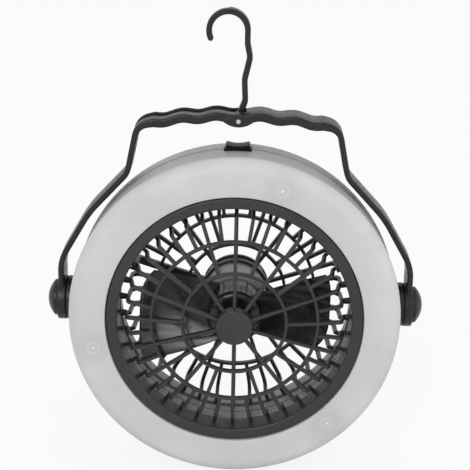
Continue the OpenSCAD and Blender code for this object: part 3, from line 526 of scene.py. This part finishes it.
def metal(name, value, rough, stretch=(1, 1, 1), bare=1.0):
    """Bare or plated metal: drawn lines in its gloss and a faint tarnish. A passivated skin is less
    bare."""
    f = Finish(name, Metallic=bare)
    drawn = f.noise(220.0, 5.0, stretch)
    tarnish = f.between(f.noise(60.0, 3.0), 0.35, 0.7)
    f.set("Base Color", f.mixed(tarnish, value, shade(value, 0.72)))
    f.set("Roughness", f.between(drawn, 0.3, 0.7, rough - 0.08, rough + 0.12))
    return f.bumped(drawn, 0.00003)


# Depths of the lens seam and the shell seam behind the rim, where painted shade is drawn.
DRUM_SEAM_SHADE_DEPTHS = (7.0 * MM, 28.3 * MM)
FINISHES = {}


def finish_for(slot):
    """The material of a slot, made on first use."""
    if slot not in FINISHES:
        c = bpy.context.scene.campfan_finishes
        finishes = {
            "shell_plastic": (moulded, "satin_grey_shell", c.shell, 0.42, 0.00003, 0.05, 0.4,
                              DRUM_SEAM_SHADE_DEPTHS),
            "frosted_lens": (frosted, "frosted_lens", c.lens, bpy.context.scene.campfan_lens),
            "grille_plastic": (moulded, "charcoal_grille", c.grille, 0.34, 0.00002, 0.12, 0.36),
            "handle_plastic": (moulded, "black_handle", c.gloss, 0.30, 0.00001, 0.14, 0.3),
            "rotor_plastic": (moulded, "gloss_rotor", c.rotor, 0.22, 0.00001, 0.1),
            "rocker_plastic": (moulded, "polished_rocker", c.rotor, 0.2, 0.000004, 0.1, 0.05),
            "dark_nylon": (moulded, "dark_nylon", (0.05, 0.05, 0.054), 0.6),
            "board": (moulded, "white_board", (0.78, 0.80, 0.78), 0.5, 0.00001, 0.04),
            "lamp": (moulded, "lamp_resin", (0.88, 0.84, 0.60), 0.2, 0.000005, 0.05),
            "lead_rubber": (moulded, "lead_sleeve", (0.30, 0.03, 0.02), 0.5),
            "cell_jacket": (moulded, "cell_jacket", (0.08, 0.09, 0.13), 0.3),
            "plated_steel": (metal, "plated_steel", c.steel, 0.28),
            "motor_steel": (metal, "motor_steel", (0.50, 0.50, 0.51), 0.5, (1, 8, 1), 0.35),
            "magnet": (moulded, "ferrite", (0.06, 0.06, 0.065), 0.7, 0.00004),
            "bronze": (metal, "sintered_bronze", (0.62, 0.42, 0.20), 0.45),
            "winding_copper": (metal, "enamelled_copper", (0.62, 0.28, 0.12), 0.35, (1, 1, 14)),
        }
        maker, *values = finishes[slot]
        FINISHES[slot] = maker(*values)
    return FINISHES[slot]


# ------------------------------------------------------------------ pieces


class CAMPFAN_OT_lens(Operator):
    """Build the frosted lens of the light ring"""

    bl_idname = "campfan.lens"
    bl_label = "Light Ring Lens"

    def execute(self, context):
        s = context.scene.campfan_lens
        middle = (s.inner_r + s.outer_r) / 2
        edge = s.outer_r - s.shoulder_r

        def face(r):
            """Height of the arched face: proud - (r - middle)^2 / (2 R)."""
            return LENS_PROUD - (r - middle) ** 2 / (2 * s.face_r)

        # outer skin: foot, shoulder arc, arched face, inner edge; inner skin one wall inside it
        arc = np.linspace(0, math.radians(83), 18)
        outer = np.stack([edge + s.shoulder_r * np.cos(arc),
                          LENS_PROUD + s.shoulder_r * (np.sin(arc) - 1)], -1)
        lip_soft = 0.8 * MM
        flat = np.linspace(outer[-1, 0], s.inner_r + lip_soft, 14)[1:]
        top = np.stack([flat, face(flat)], -1)
        lip = np.array([[s.inner_r + 0.25 * MM, face(s.inner_r) - 0.2 * MM],
                        [s.inner_r, face(s.inner_r) - lip_soft]])
        inner_arc = np.linspace(math.radians(85), 0, 8)
        small = s.shoulder_r - s.wall
        under = np.stack([edge + small * np.cos(inner_arc),
                          LENS_PROUD - s.wall - small + small * np.sin(inner_arc)], -1)
        inner_base = -s.depth - 2.1 * MM
        inner_wall = s.inner_r + s.wall
        collar = [[s.inner_r, inner_base], [inner_wall, inner_base],
                  [inner_wall, LENS_PROUD - s.wall - 0.6 * MM]]
        profile = np.vstack([[[s.outer_r, -s.depth]], outer, top, lip, collar, under,
                             [[s.outer_r - s.wall, -s.depth]]])
        shape = Shape().add(revolved(profile, 256), True, True)
        shape.solid("light_ring_lens", "housing", "frosted_lens", "lens_ring")
        return {"FINISHED"}


class CAMPFAN_OT_grille(Operator):
    """Build the front grille: rim, basket of ribs and rings, and centre cap"""

    bl_idname = "campfan.grille"
    bl_label = "Front Grille"

    def execute(self, context):
        s = context.scene.campfan_grille
        shape = Shape()
        # rim and skirt in one closed profile
        soft = 1.2 * MM
        rim = rounded([(s.rim_in, -s.skirt_depth), (s.skirt_r, -s.skirt_depth),
                       (s.skirt_r, -s.rim_t), (s.rim_r, -s.rim_t), (s.rim_r, 0), (s.rim_in, 0)],
                      [0.5 * MM, 0.5 * MM, 0, 0.4 * MM, soft, soft], True)
        shape.add(revolved(rim, 256), True, True)
        face = self.face_heights(s)
        for radius in (s.ring1_r, s.ring2_r):
            height = np.interp(radius, *face)
            ring = rounded_box((radius - s.ring_w / 2, height - s.rib_d),
                               (radius + s.ring_w / 2, height + 0.15 * MM), 0.55 * MM)
            shape.add(revolved(ring, 192), True, True)
        step = math.tau / (4 * s.ribs)
        # a quarter of the ribs start at the cap, a quarter at the inner ring, half at the middle
        for start, every, shift in ((s.cap_r - 1 * MM, 4, 0), (s.ring1_r, 4, 2), (s.ring2_r, 2, 1)):
            angles = math.pi / 2 + step * np.arange(shift, 4 * s.ribs, every)
            shape.repeated(self.rib(s, start), angles, ends=True)
        self.cap(s, shape)
        shape.solid("front_grille_basket", "housing", "grille_plastic", "front_grille")
        return {"FINISHED"}

    @staticmethod
    def face_heights(s):
        """Radii and heights of the basket's face, from the cap out to its corner."""
        radii = [s.cap_r, s.ring1_r, s.ring2_r, s.basket_r - 1.8 * MM]
        return radii, [5.6 * MM, 2.7 * MM, 0.2 * MM, -2.4 * MM]

    @classmethod
    def rib(cls, s, start):
        """A rib: a rounded section carried along the face, round the corner, down its leg and out
        to the skirt."""
        radii, heights = cls.face_heights(s)
        knots = [(r, h) for r, h in zip(radii, heights) if r > start + 1 * MM]
        first = (start, np.interp(start, radii, heights))
        corner = (s.basket_r + 0.1 * MM, knots[-1][1] - 0.2 * MM)
        foot = [(s.basket_r + 1.2 * MM, -s.foot_depth), (s.rim_in + 0.5 * MM, -s.foot_depth)]
        points = [first] + knots[:-1] + [corner] + foot
        bends = [0] + [12 * MM] * (len(points) - 4) + [3.2 * MM, 0.8 * MM, 0]
        path = rounded(points, bends, steps=8)
        # ribs are deep along the face and slimmer down the leg
        down = np.clip((corner[1] + 1.5 * MM - path[:, 1]) / (6 * MM), 0, 1)[:, None]
        depth = s.rib_d + (s.leg_d - s.rib_d) * down
        outline = rounded_box((-0.5, -1.0), (0.5, 0.0), 0.22, 3)
        across = np.broadcast_to(outline[:, 0] * s.rib_w, (len(path), len(outline)))
        grid = swept(path, np.stack([across, outline[:, 1] * depth], -1))
        return np.stack([grid[..., 0], grid[..., 2], grid[..., 1]], -1)

    @staticmethod
    def cap(s, shape):
        """The cap: a flat face with a soft edge and a straight side, hollow behind."""
        low = 2.4 * MM
        inside, roof = s.cap_r - 2 * MM, s.cap_front - 3 * MM
        outline = rounded([(0, s.cap_front), (s.cap_r, s.cap_front), (s.cap_r, low), (inside, low),
                           (inside, roof), (0, roof)],
                          [0, 1.2 * MM, 0.3 * MM, 0.3 * MM, 0.5 * MM, 0], steps=8)
        shape.add(revolved(outline, 96), True, False)


class CAMPFAN_OT_rotor(Operator):
    """Build the rotor: hub and two broad twisted blades"""

    bl_idname = "campfan.rotor"
    bl_label = "Rotor"

    def execute(self, context):
        s = context.scene.campfan_rotor
        shape = Shape()
        wall, boss_r, bore_r = 1.6 * MM, 4 * MM, 1.52 * MM
        bore_end = -s.hub_front - 0.7 * MM
        inside, web = s.hub_r - wall, -s.hub_front - wall
        hub = rounded([(0, -s.hub_front), (s.hub_r, -s.hub_front), (s.hub_r, -s.hub_back),
                       (inside, -s.hub_back), (inside, web), (boss_r, web), (boss_r, -s.hub_back),
                       (bore_r, -s.hub_back), (bore_r, bore_end), (0, bore_end)],
                      [0, 3 * MM, 0.3 * MM, 0.3 * MM, 1 * MM, 0.5 * MM, 0.3 * MM, 0, 0, 0],
                      steps=10)
        shape.add(revolved(hub, 128), True, False)
        shape.repeated(self.blade(s), np.arange(s.blades) * math.tau / s.blades, ends=True)
        shape.solid("rotor_blades", "rotor", "rotor_plastic", "fan_rotor", sharp=40)
        return {"FINISHED"}

    @staticmethod
    def blade(s):
        """A blade: a point `out` of the way from hub to tip and `across` of the way from its middle
        to an edge.
        x = x_in + out (x_out - x_in), with x_in on the hub and x_out = tip - corner |across|^n;
        y = across root + out^0.75 (across (mean - root) + across^2 (lead - trail) / 2);
        its depth is front + (1 - across) / 2 * rise(out) + camber (1 - across^2) out.
        Its section is a flat lens with round edges."""
        out = np.linspace(0, 1, 40)[:, None]
        t = np.linspace(0, math.tau, 72, endpoint=False)[None]
        across = np.cos(t)
        side = np.sign(np.sin(t)) * np.abs(np.sin(t)) ** 0.45
        x_in = np.sqrt((s.hub_r - 1.2 * MM) ** 2 - (across * s.root_half) ** 2)
        drawn = np.where(across > 0, s.lead_corner * np.abs(across) ** 6,
                         s.trail_corner * np.abs(across) ** 3)
        x = x_in + out * (s.tip - drawn - x_in)
        mean = (s.lead + s.trail) / 2
        widening = across * (mean - s.root_half) + across ** 2 * (s.lead - s.trail) / 2
        y = across * s.root_half + out ** 0.75 * widening
        rise = s.rise_in + (s.rise - s.rise_in) * out
        # the tip's last millimetre thins to a round edge
        thin = np.sqrt(np.clip(1 - ((out - 0.975) / 0.025).clip(0, 1) ** 2, 0.06, 1))
        depth = (-s.front - (1 - across) / 2 * rise - s.camber * (1 - across ** 2) * out
                 + side * s.thick / 2 * (1 - 0.45 * np.abs(across) ** 4) * thin)
        return np.stack([x, y, depth + 0 * x], -1)


def grip_height(s, x):
    """Centre line of the grip: a shallow arch with finger waves,
    y = h - k x^2 + w cos(2 pi (x - x0) / l)."""
    arch, shift = 1.9, 12.5 * MM
    wave = s.wave_h * np.cos(math.tau * (x - shift) / s.wave_l)
    return s.grip_h + s.strap_t / 2 - arch * x * x + wave


def handle_path(s, side):
    """Centre line of one half of the handle, from the middle of the grip round its corner to the
    eye: the grip's wave, then straight runs joined by arcs."""
    end = s.grip_half - 9 * MM
    x = np.arange(0, end - 0.5 * MM, 0.8 * MM)
    wavy = np.stack([x, grip_height(s, x)], -1)
    pivot_h = PIVOT[2] - FAN_Z
    strap_x = (s.eye_in + s.eye_out) / 2
    bends = [(end, grip_height(s, end)), (s.grip_half, s.grip_h - 3.6 * MM)]
    bends += [(s.arm_r * math.cos(a), s.arm_r * math.sin(a)) for a in np.radians((52, 33.5))]
    bends += [(strap_x, pivot_h + 2 * s.eye_r), (strap_x, pivot_h)]
    arm = rounded(bends, [0, 8 * MM, 12 * MM, 60 * MM, 24 * MM, 0], steps=12)
    return np.vstack([wavy, arm]) * (side, 1)


class CAMPFAN_OT_handle(Operator):
    """Build the handle: wavy grip with the hook's slot, arms and eyes"""

    bl_idname = "campfan.handle"
    bl_label = "Handle"

    def execute(self, context):
        s = context.scene.campfan_handle
        shape = Shape()
        front, back = -s.front, -s.front - s.strap_d
        rail_back = front - s.rail_d
        wall_front = rail_back - s.slot_w
        right, left = handle_path(s, 1), handle_path(s, -1)
        slot_right = 4.4 * MM
        slot_low = s.grip_h - 22 * MM
        whole_right = right[right[:, 0] >= slot_right]
        self.strap(shape, s, whole_right, front, back, 1)
        # left of the pin the strap is a front rail and a thin rear wall, down to where its path
        # crosses the height of the slot's end
        i = int(np.argmax(left[:, 1] < slot_low))
        share = (left[i - 1, 1] - slot_low) / (left[i - 1, 1] - left[i, 1])
        slot_end = left[i - 1] + share * (left[i] - left[i - 1])
        near_pin = right[right[:, 0] < slot_right][::-1]
        slotted = np.vstack([whole_right[:1], near_pin, left[1:i], slot_end])
        self.strap(shape, s, slotted, front, rail_back, -1)
        self.strap(shape, s, slotted, wall_front, back, -1)
        self.strap(shape, s, np.vstack([slot_end, left[i:]]), front, back, -1)
        self.eyes(shape, s)
        proud = 0.15 * MM
        self.boss(shape, front + proud, rail_back)
        self.boss(shape, wall_front, back - proud)
        shape.solid("grip_handle", "handle", "handle_plastic", "handle")
        return {"FINISHED"}

    @staticmethod
    def strap(shape, s, path, front, back, top):
        """The strap's section, with its long edges rounded, carried along the path. Along the grip
        its upper side, to the left or right of the path as `top` is 1 or -1, rises by the crown."""
        half = s.strap_t / 2
        soft = min(0.9 * MM, (front - back) * 0.4)
        section = rounded_box((back, -half), (front, half), soft, 5)
        swell = s.crown * np.clip((s.grip_half + 1 * MM - np.abs(path[:, 0])) / (9 * MM), 0, 1)
        swell = np.where(path[:, 1] > s.grip_h - 8 * MM, swell, 0)[:, None]
        sections = np.broadcast_to(section, (len(path),) + section.shape).copy()
        sections[..., 1] += top * swell * (top * section[:, 1] / half + 1) / 2
        shape.add(swept(path, sections), ends=True)

    @staticmethod
    def eyes(shape, s):
        """An eye on each side: a disc about the pivot, with soft edges and the journal's bore."""
        bore = 4.26 * MM
        for side in (1, -1):
            outline = rounded([(bore, s.eye_in), (s.eye_r, s.eye_in), (s.eye_r, s.eye_out),
                               (bore, s.eye_out)],
                              [0.2 * MM, 0.5 * MM, 1.0 * MM, 0.2 * MM], True)
            shape.add(about_pivot(outline, side), True, True)

    @staticmethod
    def boss(shape, front, back):
        """Lens-shaped swelling round the hook's pin: two arcs of one radius cross at its ends."""
        bulge, rise, soft = 13 * MM, 3.4 * MM, 0.5 * MM
        height = PIN[2] - FAN_Z

        def outline(inset):
            """The swelling's outline, drawn in on every side by an inset."""
            r = bulge - inset
            reach = math.sqrt(r ** 2 - (bulge - rise) ** 2)
            x = np.linspace(-reach, reach, 33)
            arc = np.sqrt(r ** 2 - x ** 2) - (bulge - rise)
            upper, lower = np.stack([x, height + arc], -1), np.stack([x, height - arc], -1)
            return np.vstack([upper, lower[-2:0:-1]])

        t = np.linspace(0, math.pi / 2, 5)
        inset = soft * (1 - np.cos(t))
        rise_z = soft * np.sin(t)
        # a last ring on each flat end keeps that end flat to the light
        steps = [(back, soft * 1.5)]
        steps += [(back + soft - z, k) for k, z in zip(inset[::-1], rise_z[::-1])]
        steps += [(front - soft + z, k) for k, z in zip(inset, rise_z)] + [(front, soft * 1.5)]
        grid = np.stack([np.concatenate([outline(k), np.full((64, 1), z)], -1) for z, k in steps])
        shape.add(grid, ends=True)


def about_pivot(profile, side):
    """A profile of (radius, distance out from the fan's axis) carried round the handle's pivot:
    (side * out, height + r cos t, depth + r sin t)."""
    t = np.linspace(0, math.tau, 96, endpoint=False)[:, None]
    r, out = np.asarray(profile).T
    height, depth = PIVOT[2] - FAN_Z, RIM_Y - PIVOT[1]
    return np.stack([side * out + 0 * t, height + r * np.cos(t), depth + r * np.sin(t)], -1)


class CAMPFAN_OT_knobs(Operator):
    """Build the fixed bases and the domed caps of the handle's pivots"""

    bl_idname = "campfan.knobs"
    bl_label = "Pivot Knobs"

    def execute(self, context):
        s = context.scene.campfan_handle
        drum_r = context.scene.campfan_lens.outer_r - 0.6 * MM
        clear = 0.2 * MM
        base_in, base_out = drum_r - 1.5 * MM, s.eye_in - clear
        for name, side in (("left", -1), ("right", 1)):
            # the base sinks into the drum's wall, and its outer edge is soft
            base = rounded([(0, base_in), (s.eye_r, base_in), (s.eye_r, base_out), (0, base_out)],
                           [0, 0, 0.9 * MM, 0])
            shape = Shape().add(about_pivot(base, side), True, False)
            shape.solid(f"knob_base_{name}", "housing", "handle_plastic", f"pivot_base_{name}")
            dome = self.dome(s, s.eye_out + clear)
            shape = Shape().add(about_pivot(dome, side), True, False)
            shape.solid(f"knob_cap_{name}", "housing", "handle_plastic", f"pivot_cap_{name}",
                        sharp=50)
        return {"FINISHED"}

    @staticmethod
    def dome(s, start):
        """A domed cap: a short straight side, a soft edge and a cap of a sphere. A sphere's cap of
        radius a and height h has the ball radius (a^2 + h^2) / (2 h)."""
        side_h = 1.6 * MM
        rise = s.dome_h - side_h
        ball = (s.dome_r ** 2 + rise ** 2) / (2 * rise)
        edge = math.asin(s.dome_r / ball)
        t = np.linspace(0, edge * 0.93, 16)
        crown = np.stack([ball * np.sin(t), start + s.dome_h - ball * (1 - np.cos(t))], -1)
        foot = rounded([tuple(crown[-1]), (s.dome_r, start + side_h), (s.dome_r, start),
                        (0, start)], [0, 0.8 * MM, 0.3 * MM, 0])
        return np.vstack([crown, foot[1:]])


class CAMPFAN_OT_hook(Operator):
    """Build the fold-away hook with the eye round its pin"""

    bl_idname = "campfan.hook"
    bl_label = "Hook"

    def execute(self, context):
        s = context.scene.campfan_hook
        shape = Shape()
        front = RIM_Y - (PIN[1] - s.stem_d / 2)
        height = PIN[2] - FAN_Z
        half = s.strap_t / 2
        mid_r = s.throat_r + half
        stem_x = 4.15 * MM
        crown_x = stem_x - mid_r
        waves = [(0, 0.5), (3.5, 9), (2.9, 21), (5.7, 33.5), (4.15, 41)]
        stem = rounded([(x * MM, y * MM) for x, y in waves] + [(stem_x, s.throat_h)],
                       [0, 7 * MM, 14 * MM, 7 * MM, 10 * MM, 0], steps=8)
        t = np.linspace(0, math.pi / 2, 25)
        deep_arc = np.stack([crown_x + mid_r * np.cos(t), s.throat_h + mid_r * np.sin(t)], -1)
        t = np.linspace(math.pi / 2, s.arc, 33)
        tip_arc = np.stack([crown_x + mid_r * np.cos(t), s.throat_h + mid_r * np.sin(t)], -1)
        self.strap(shape, np.vstack([stem, deep_arc[1:]]), half, front, s.stem_d, height)
        self.strap(shape, tip_arc, half, front, s.tip_d, height, round_end=True)
        bore_r, eye_r = 1.25 * MM, 3 * MM
        eye = rounded([(bore_r, -s.stem_d), (eye_r, -s.stem_d), (eye_r, 0), (bore_r, 0)],
                      [0.2 * MM, 0.6 * MM, 0.6 * MM, 0.2 * MM], True)
        shape.add(revolved(eye, 48) + (0, height, front), True, True)
        shape.solid("hanging_hook", "hook", "handle_plastic", "hook")
        return {"FINISHED"}

    @staticmethod
    def strap(shape, path, half, front, depth, height, round_end=False):
        """The hook's strap: a rounded section carried along its path; the free end narrows as a
        half circle."""
        section = rounded_box((-depth, -half), (0, half), 0.7 * MM, 5)
        grown = np.ones(len(path))
        if round_end:
            heading = unit(path[-1] - path[-2])
            t = np.linspace(0, math.pi / 2, 9)[1:]
            path = np.vstack([path, path[-1] + heading * half * np.sin(t)[:, None] * 0.98])
            grown = np.concatenate([grown, np.cos(t).clip(0.08)])
        sections = np.broadcast_to(section, (len(path),) + section.shape).copy()
        sections[..., 1] *= grown[:, None]
        shape.add(swept(path, sections) + (0, height, front), ends=True)


class CAMPFAN_OT_rocker(Operator):
    """Build the rocker of the switch"""

    bl_idname = "campfan.rocker"
    bl_label = "Rocker Switch"

    def execute(self, context):
        s = context.scene.campfan_switch
        half = s.width / 2
        x = np.linspace(half - 0.9 * MM, -half + 0.9 * MM, 21)
        # the top is a shallow hollow: y = top - dip (1 - (x / half)^2)
        top = np.stack([x, s.top - s.dip * (1 - (x / half) ** 2)], -1)
        foot, shoulder = 2.2 * MM, s.top - 0.7 * MM
        sides = [(-half, shoulder), (-half, -s.low + foot), (-half + foot, -s.low),
                 (half - foot, -s.low), (half, -s.low + foot), (half, shoulder)]
        outline = np.vstack([top, sides])
        centre = np.array([0, (s.top - s.low) / 2])
        soft = 0.9 * MM
        t = np.linspace(0, math.pi / 2, 6)
        inset = soft * (1 - np.sin(t))
        depth = s.depth / 2 - soft + soft * np.cos(t)
        # towards both ends the outline draws in as a quarter circle
        outward = unit(outline - centre)
        insets = np.concatenate([inset, inset[::-1]])[:, None, None]
        depths = np.concatenate([-depth, depth[::-1]])[:, None, None]
        flat = outline - outward * insets
        grid = np.concatenate([flat, np.broadcast_to(depths, flat.shape[:2] + (1,))], -1)
        place = (0, ROCKER[2] - FAN_Z, RIM_Y - ROCKER[1])
        shape = Shape().add(grid + place, ends=True)
        pin_r, reach = 1.1 * MM, s.depth / 2 + 1.5 * MM
        pin = revolved([(0, -reach), (pin_r, -reach), (pin_r, reach), (0, reach)], 32)
        shape.add(pin + place, True, False)
        shape.solid("switch_rocker_cap", "rocker", "rocker_plastic", "switch_rocker", sharp=40)
        return {"FINISHED"}


class CAMPFAN_OT_carried(Operator):
    """Give every node that keeps its own shape the finish of its material slot"""

    bl_idname = "campfan.carried"
    bl_label = "Finish Carried Nodes"

    def execute(self, context):
        for part in frame["record"]["subparts"]:
            node = frame["nodes"][part["node"]]
            node.data.materials.clear()
            node.data.materials.append(finish_for(part["material_slot"]))
        return {"FINISHED"}


# ------------------------------------------------------------------ stage


class CAMPFAN_OT_stage(Operator):
    """Set the floor, the lamps, the world and the camera at the photograph's angle"""

    bl_idname = "campfan.stage"
    bl_label = "Stage"

    def execute(self, context):
        s = context.scene.campfan_stage
        context.scene.view_settings.view_transform = "Standard"
        self.world(context.scene, s)
        self.floor()
        target = Vector((FAN_X + s.target_right, RIM_Y, FAN_Z + s.target_up))
        self.camera(context.scene, s, target)
        self.lamp("key", (-0.5, -1.6, 0.75), 0.9, s.key, target)
        self.lamp("fill", (1.5, -0.7, 0.2), 0.9, s.fill, target)
        return {"FINISHED"}

    @staticmethod
    def seen(nodes):
        """1 for what the camera sees straight, where the background is plain white."""
        return nodes.add("ShaderNodeLightPath", output="Is Camera Ray")

    def world(self, scene, s):
        """The studio is bright above and in front, and dimmer towards the floor: its strength rises
        in a straight line with the height of the direction that the light comes from."""
        floor_share = 0.35
        scene.world = bpy.data.worlds.new("studio")
        scene.world.use_nodes = True
        nodes = Nodes(scene.world.node_tree)
        background = nodes.tree.nodes["Background"]
        background.inputs["Color"].default_value = (1, 1, 1, 1)
        direction = nodes.add("ShaderNodeTexCoord", output="Generated")
        height = nodes.add("ShaderNodeSeparateXYZ", {}, {0: direction}, output=2)
        strength = nodes.add("ShaderNodeMapRange", {}, {
            "Value": height, "From Min": -0.5, "From Max": 0.5, "To Min": s.world * floor_share,
            "To Max": s.world})
        level = nodes.add("ShaderNodeMix", {}, {0: self.seen(nodes), 2: strength, 3: 1.0})
        nodes.feed(background.inputs["Strength"], level)

    def floor(self):
        """A wide plane under the drum: mostly plain white to the camera, with a soft trace of the
        shadow."""
        low, reach, white_share = CAD_BOX[0].z - 0.3 * MM, 5.0, 0.86
        corners = [(-reach, -reach, low), (reach, -reach, low), (reach, reach, low),
                   (-reach, reach, low)]
        mesh = bpy.data.meshes.new("floor")
        mesh.from_pydata(corners, [], [(0, 1, 2, 3)])
        floor = bpy.data.objects.new("floor", mesh)
        bpy.context.scene.collection.objects.link(floor)
        material = bpy.data.materials.new("studio_floor")
        material.use_nodes = True
        nodes = Nodes(material.node_tree)
        nodes.tree.nodes.clear()
        lit = nodes.add("ShaderNodeBsdfDiffuse", {}, {"Color": (0.82, 0.82, 0.82)})
        white = nodes.add("ShaderNodeEmission")
        both = nodes.add("ShaderNodeMixShader", {},
                         {0: self.seen(nodes) * white_share, 1: lit, 2: white})
        nodes.surface(both.socket)
        mesh.materials.append(material)

    @staticmethod
    def camera(scene, s, target):
        """The camera looks down by the pitch from a little to one side, then rolls about its own
        axis."""
        level = math.cos(s.pitch)
        ahead = Vector((-math.sin(s.yaw) * level, math.cos(s.yaw) * level, -math.sin(s.pitch)))
        right = Vector((math.cos(s.yaw), math.sin(s.yaw), 0))
        up = right.cross(ahead)
        rolled_right = right * math.cos(s.roll) + up * math.sin(s.roll)
        rolled_up = up * math.cos(s.roll) - right * math.sin(s.roll)
        data = bpy.data.cameras.new("camera")
        data.lens, data.sensor_width = s.focal, 36.0
        data.clip_start, data.clip_end = 0.05, 50.0
        camera = bpy.data.objects.new("camera", data)
        scene.collection.objects.link(camera)
        facing = Matrix((rolled_right, rolled_up, -ahead)).transposed().to_4x4()
        camera.matrix_world = Matrix.Translation(target - ahead * s.distance) @ facing
        scene.camera = camera

    @staticmethod
    def lamp(name, place, size, power, target):
        """A round soft lamp that faces the target from `place` metres away."""
        data = bpy.data.lights.new(name, "AREA")
        data.shape, data.size, data.energy = "DISK", size, power
        lamp = bpy.data.objects.new(name, data)
        bpy.context.scene.collection.objects.link(lamp)
        lamp.location = target + Vector(place)
        lamp.rotation_euler = (-Vector(place)).to_track_quat("-Z", "Y").to_euler()


GROUPS = (("campfan_lens", CampFanLensSizes), ("campfan_grille", CampFanGrilleSizes),
          ("campfan_rotor", CampFanRotorSizes), ("campfan_handle", CampFanHandleSizes),
          ("campfan_hook", CampFanHookSizes), ("campfan_switch", CampFanSwitchSizes),
          ("campfan_finishes", CampFanFinishes), ("campfan_stage", CampFanStage))
STEPS = (CAMPFAN_OT_stage, CAMPFAN_OT_carried, CAMPFAN_OT_lens, CAMPFAN_OT_grille,
         CAMPFAN_OT_rotor, CAMPFAN_OT_handle, CAMPFAN_OT_knobs, CAMPFAN_OT_hook, CAMPFAN_OT_rocker)


class CAMPFAN_PT_panel(Panel):
    """Lists the fan's pieces, sizes and colours"""

    bl_label = "Camping Fan"
    bl_space_type = "VIEW_3D"
    bl_region_type = "UI"
    bl_category = "Camping Fan"

    def draw(self, context):
        for step in STEPS:
            self.layout.operator(step.bl_idname)
        for attribute, group in GROUPS:
            box = self.layout.box()
            values = getattr(context.scene, attribute)
            for name in group.__annotations__:
                box.prop(values, name)


def register():
    for attribute, group in GROUPS:
        bpy.utils.register_class(group)
        setattr(bpy.types.Scene, attribute, PointerProperty(type=group))
    for cls in STEPS + (CAMPFAN_PT_panel,):
        bpy.utils.register_class(cls)


def unregister():
    for cls in reversed(STEPS + (CAMPFAN_PT_panel,)):
        bpy.utils.unregister_class(cls)
    for attribute, group in reversed(GROUPS):
        delattr(bpy.types.Scene, attribute)
        bpy.utils.unregister_class(group)


def main():
    register()
    for step in STEPS:
        group, name = step.bl_idname.split(".")
        getattr(getattr(bpy.ops, group), name)()


if __name__ == "__main__":
    main()
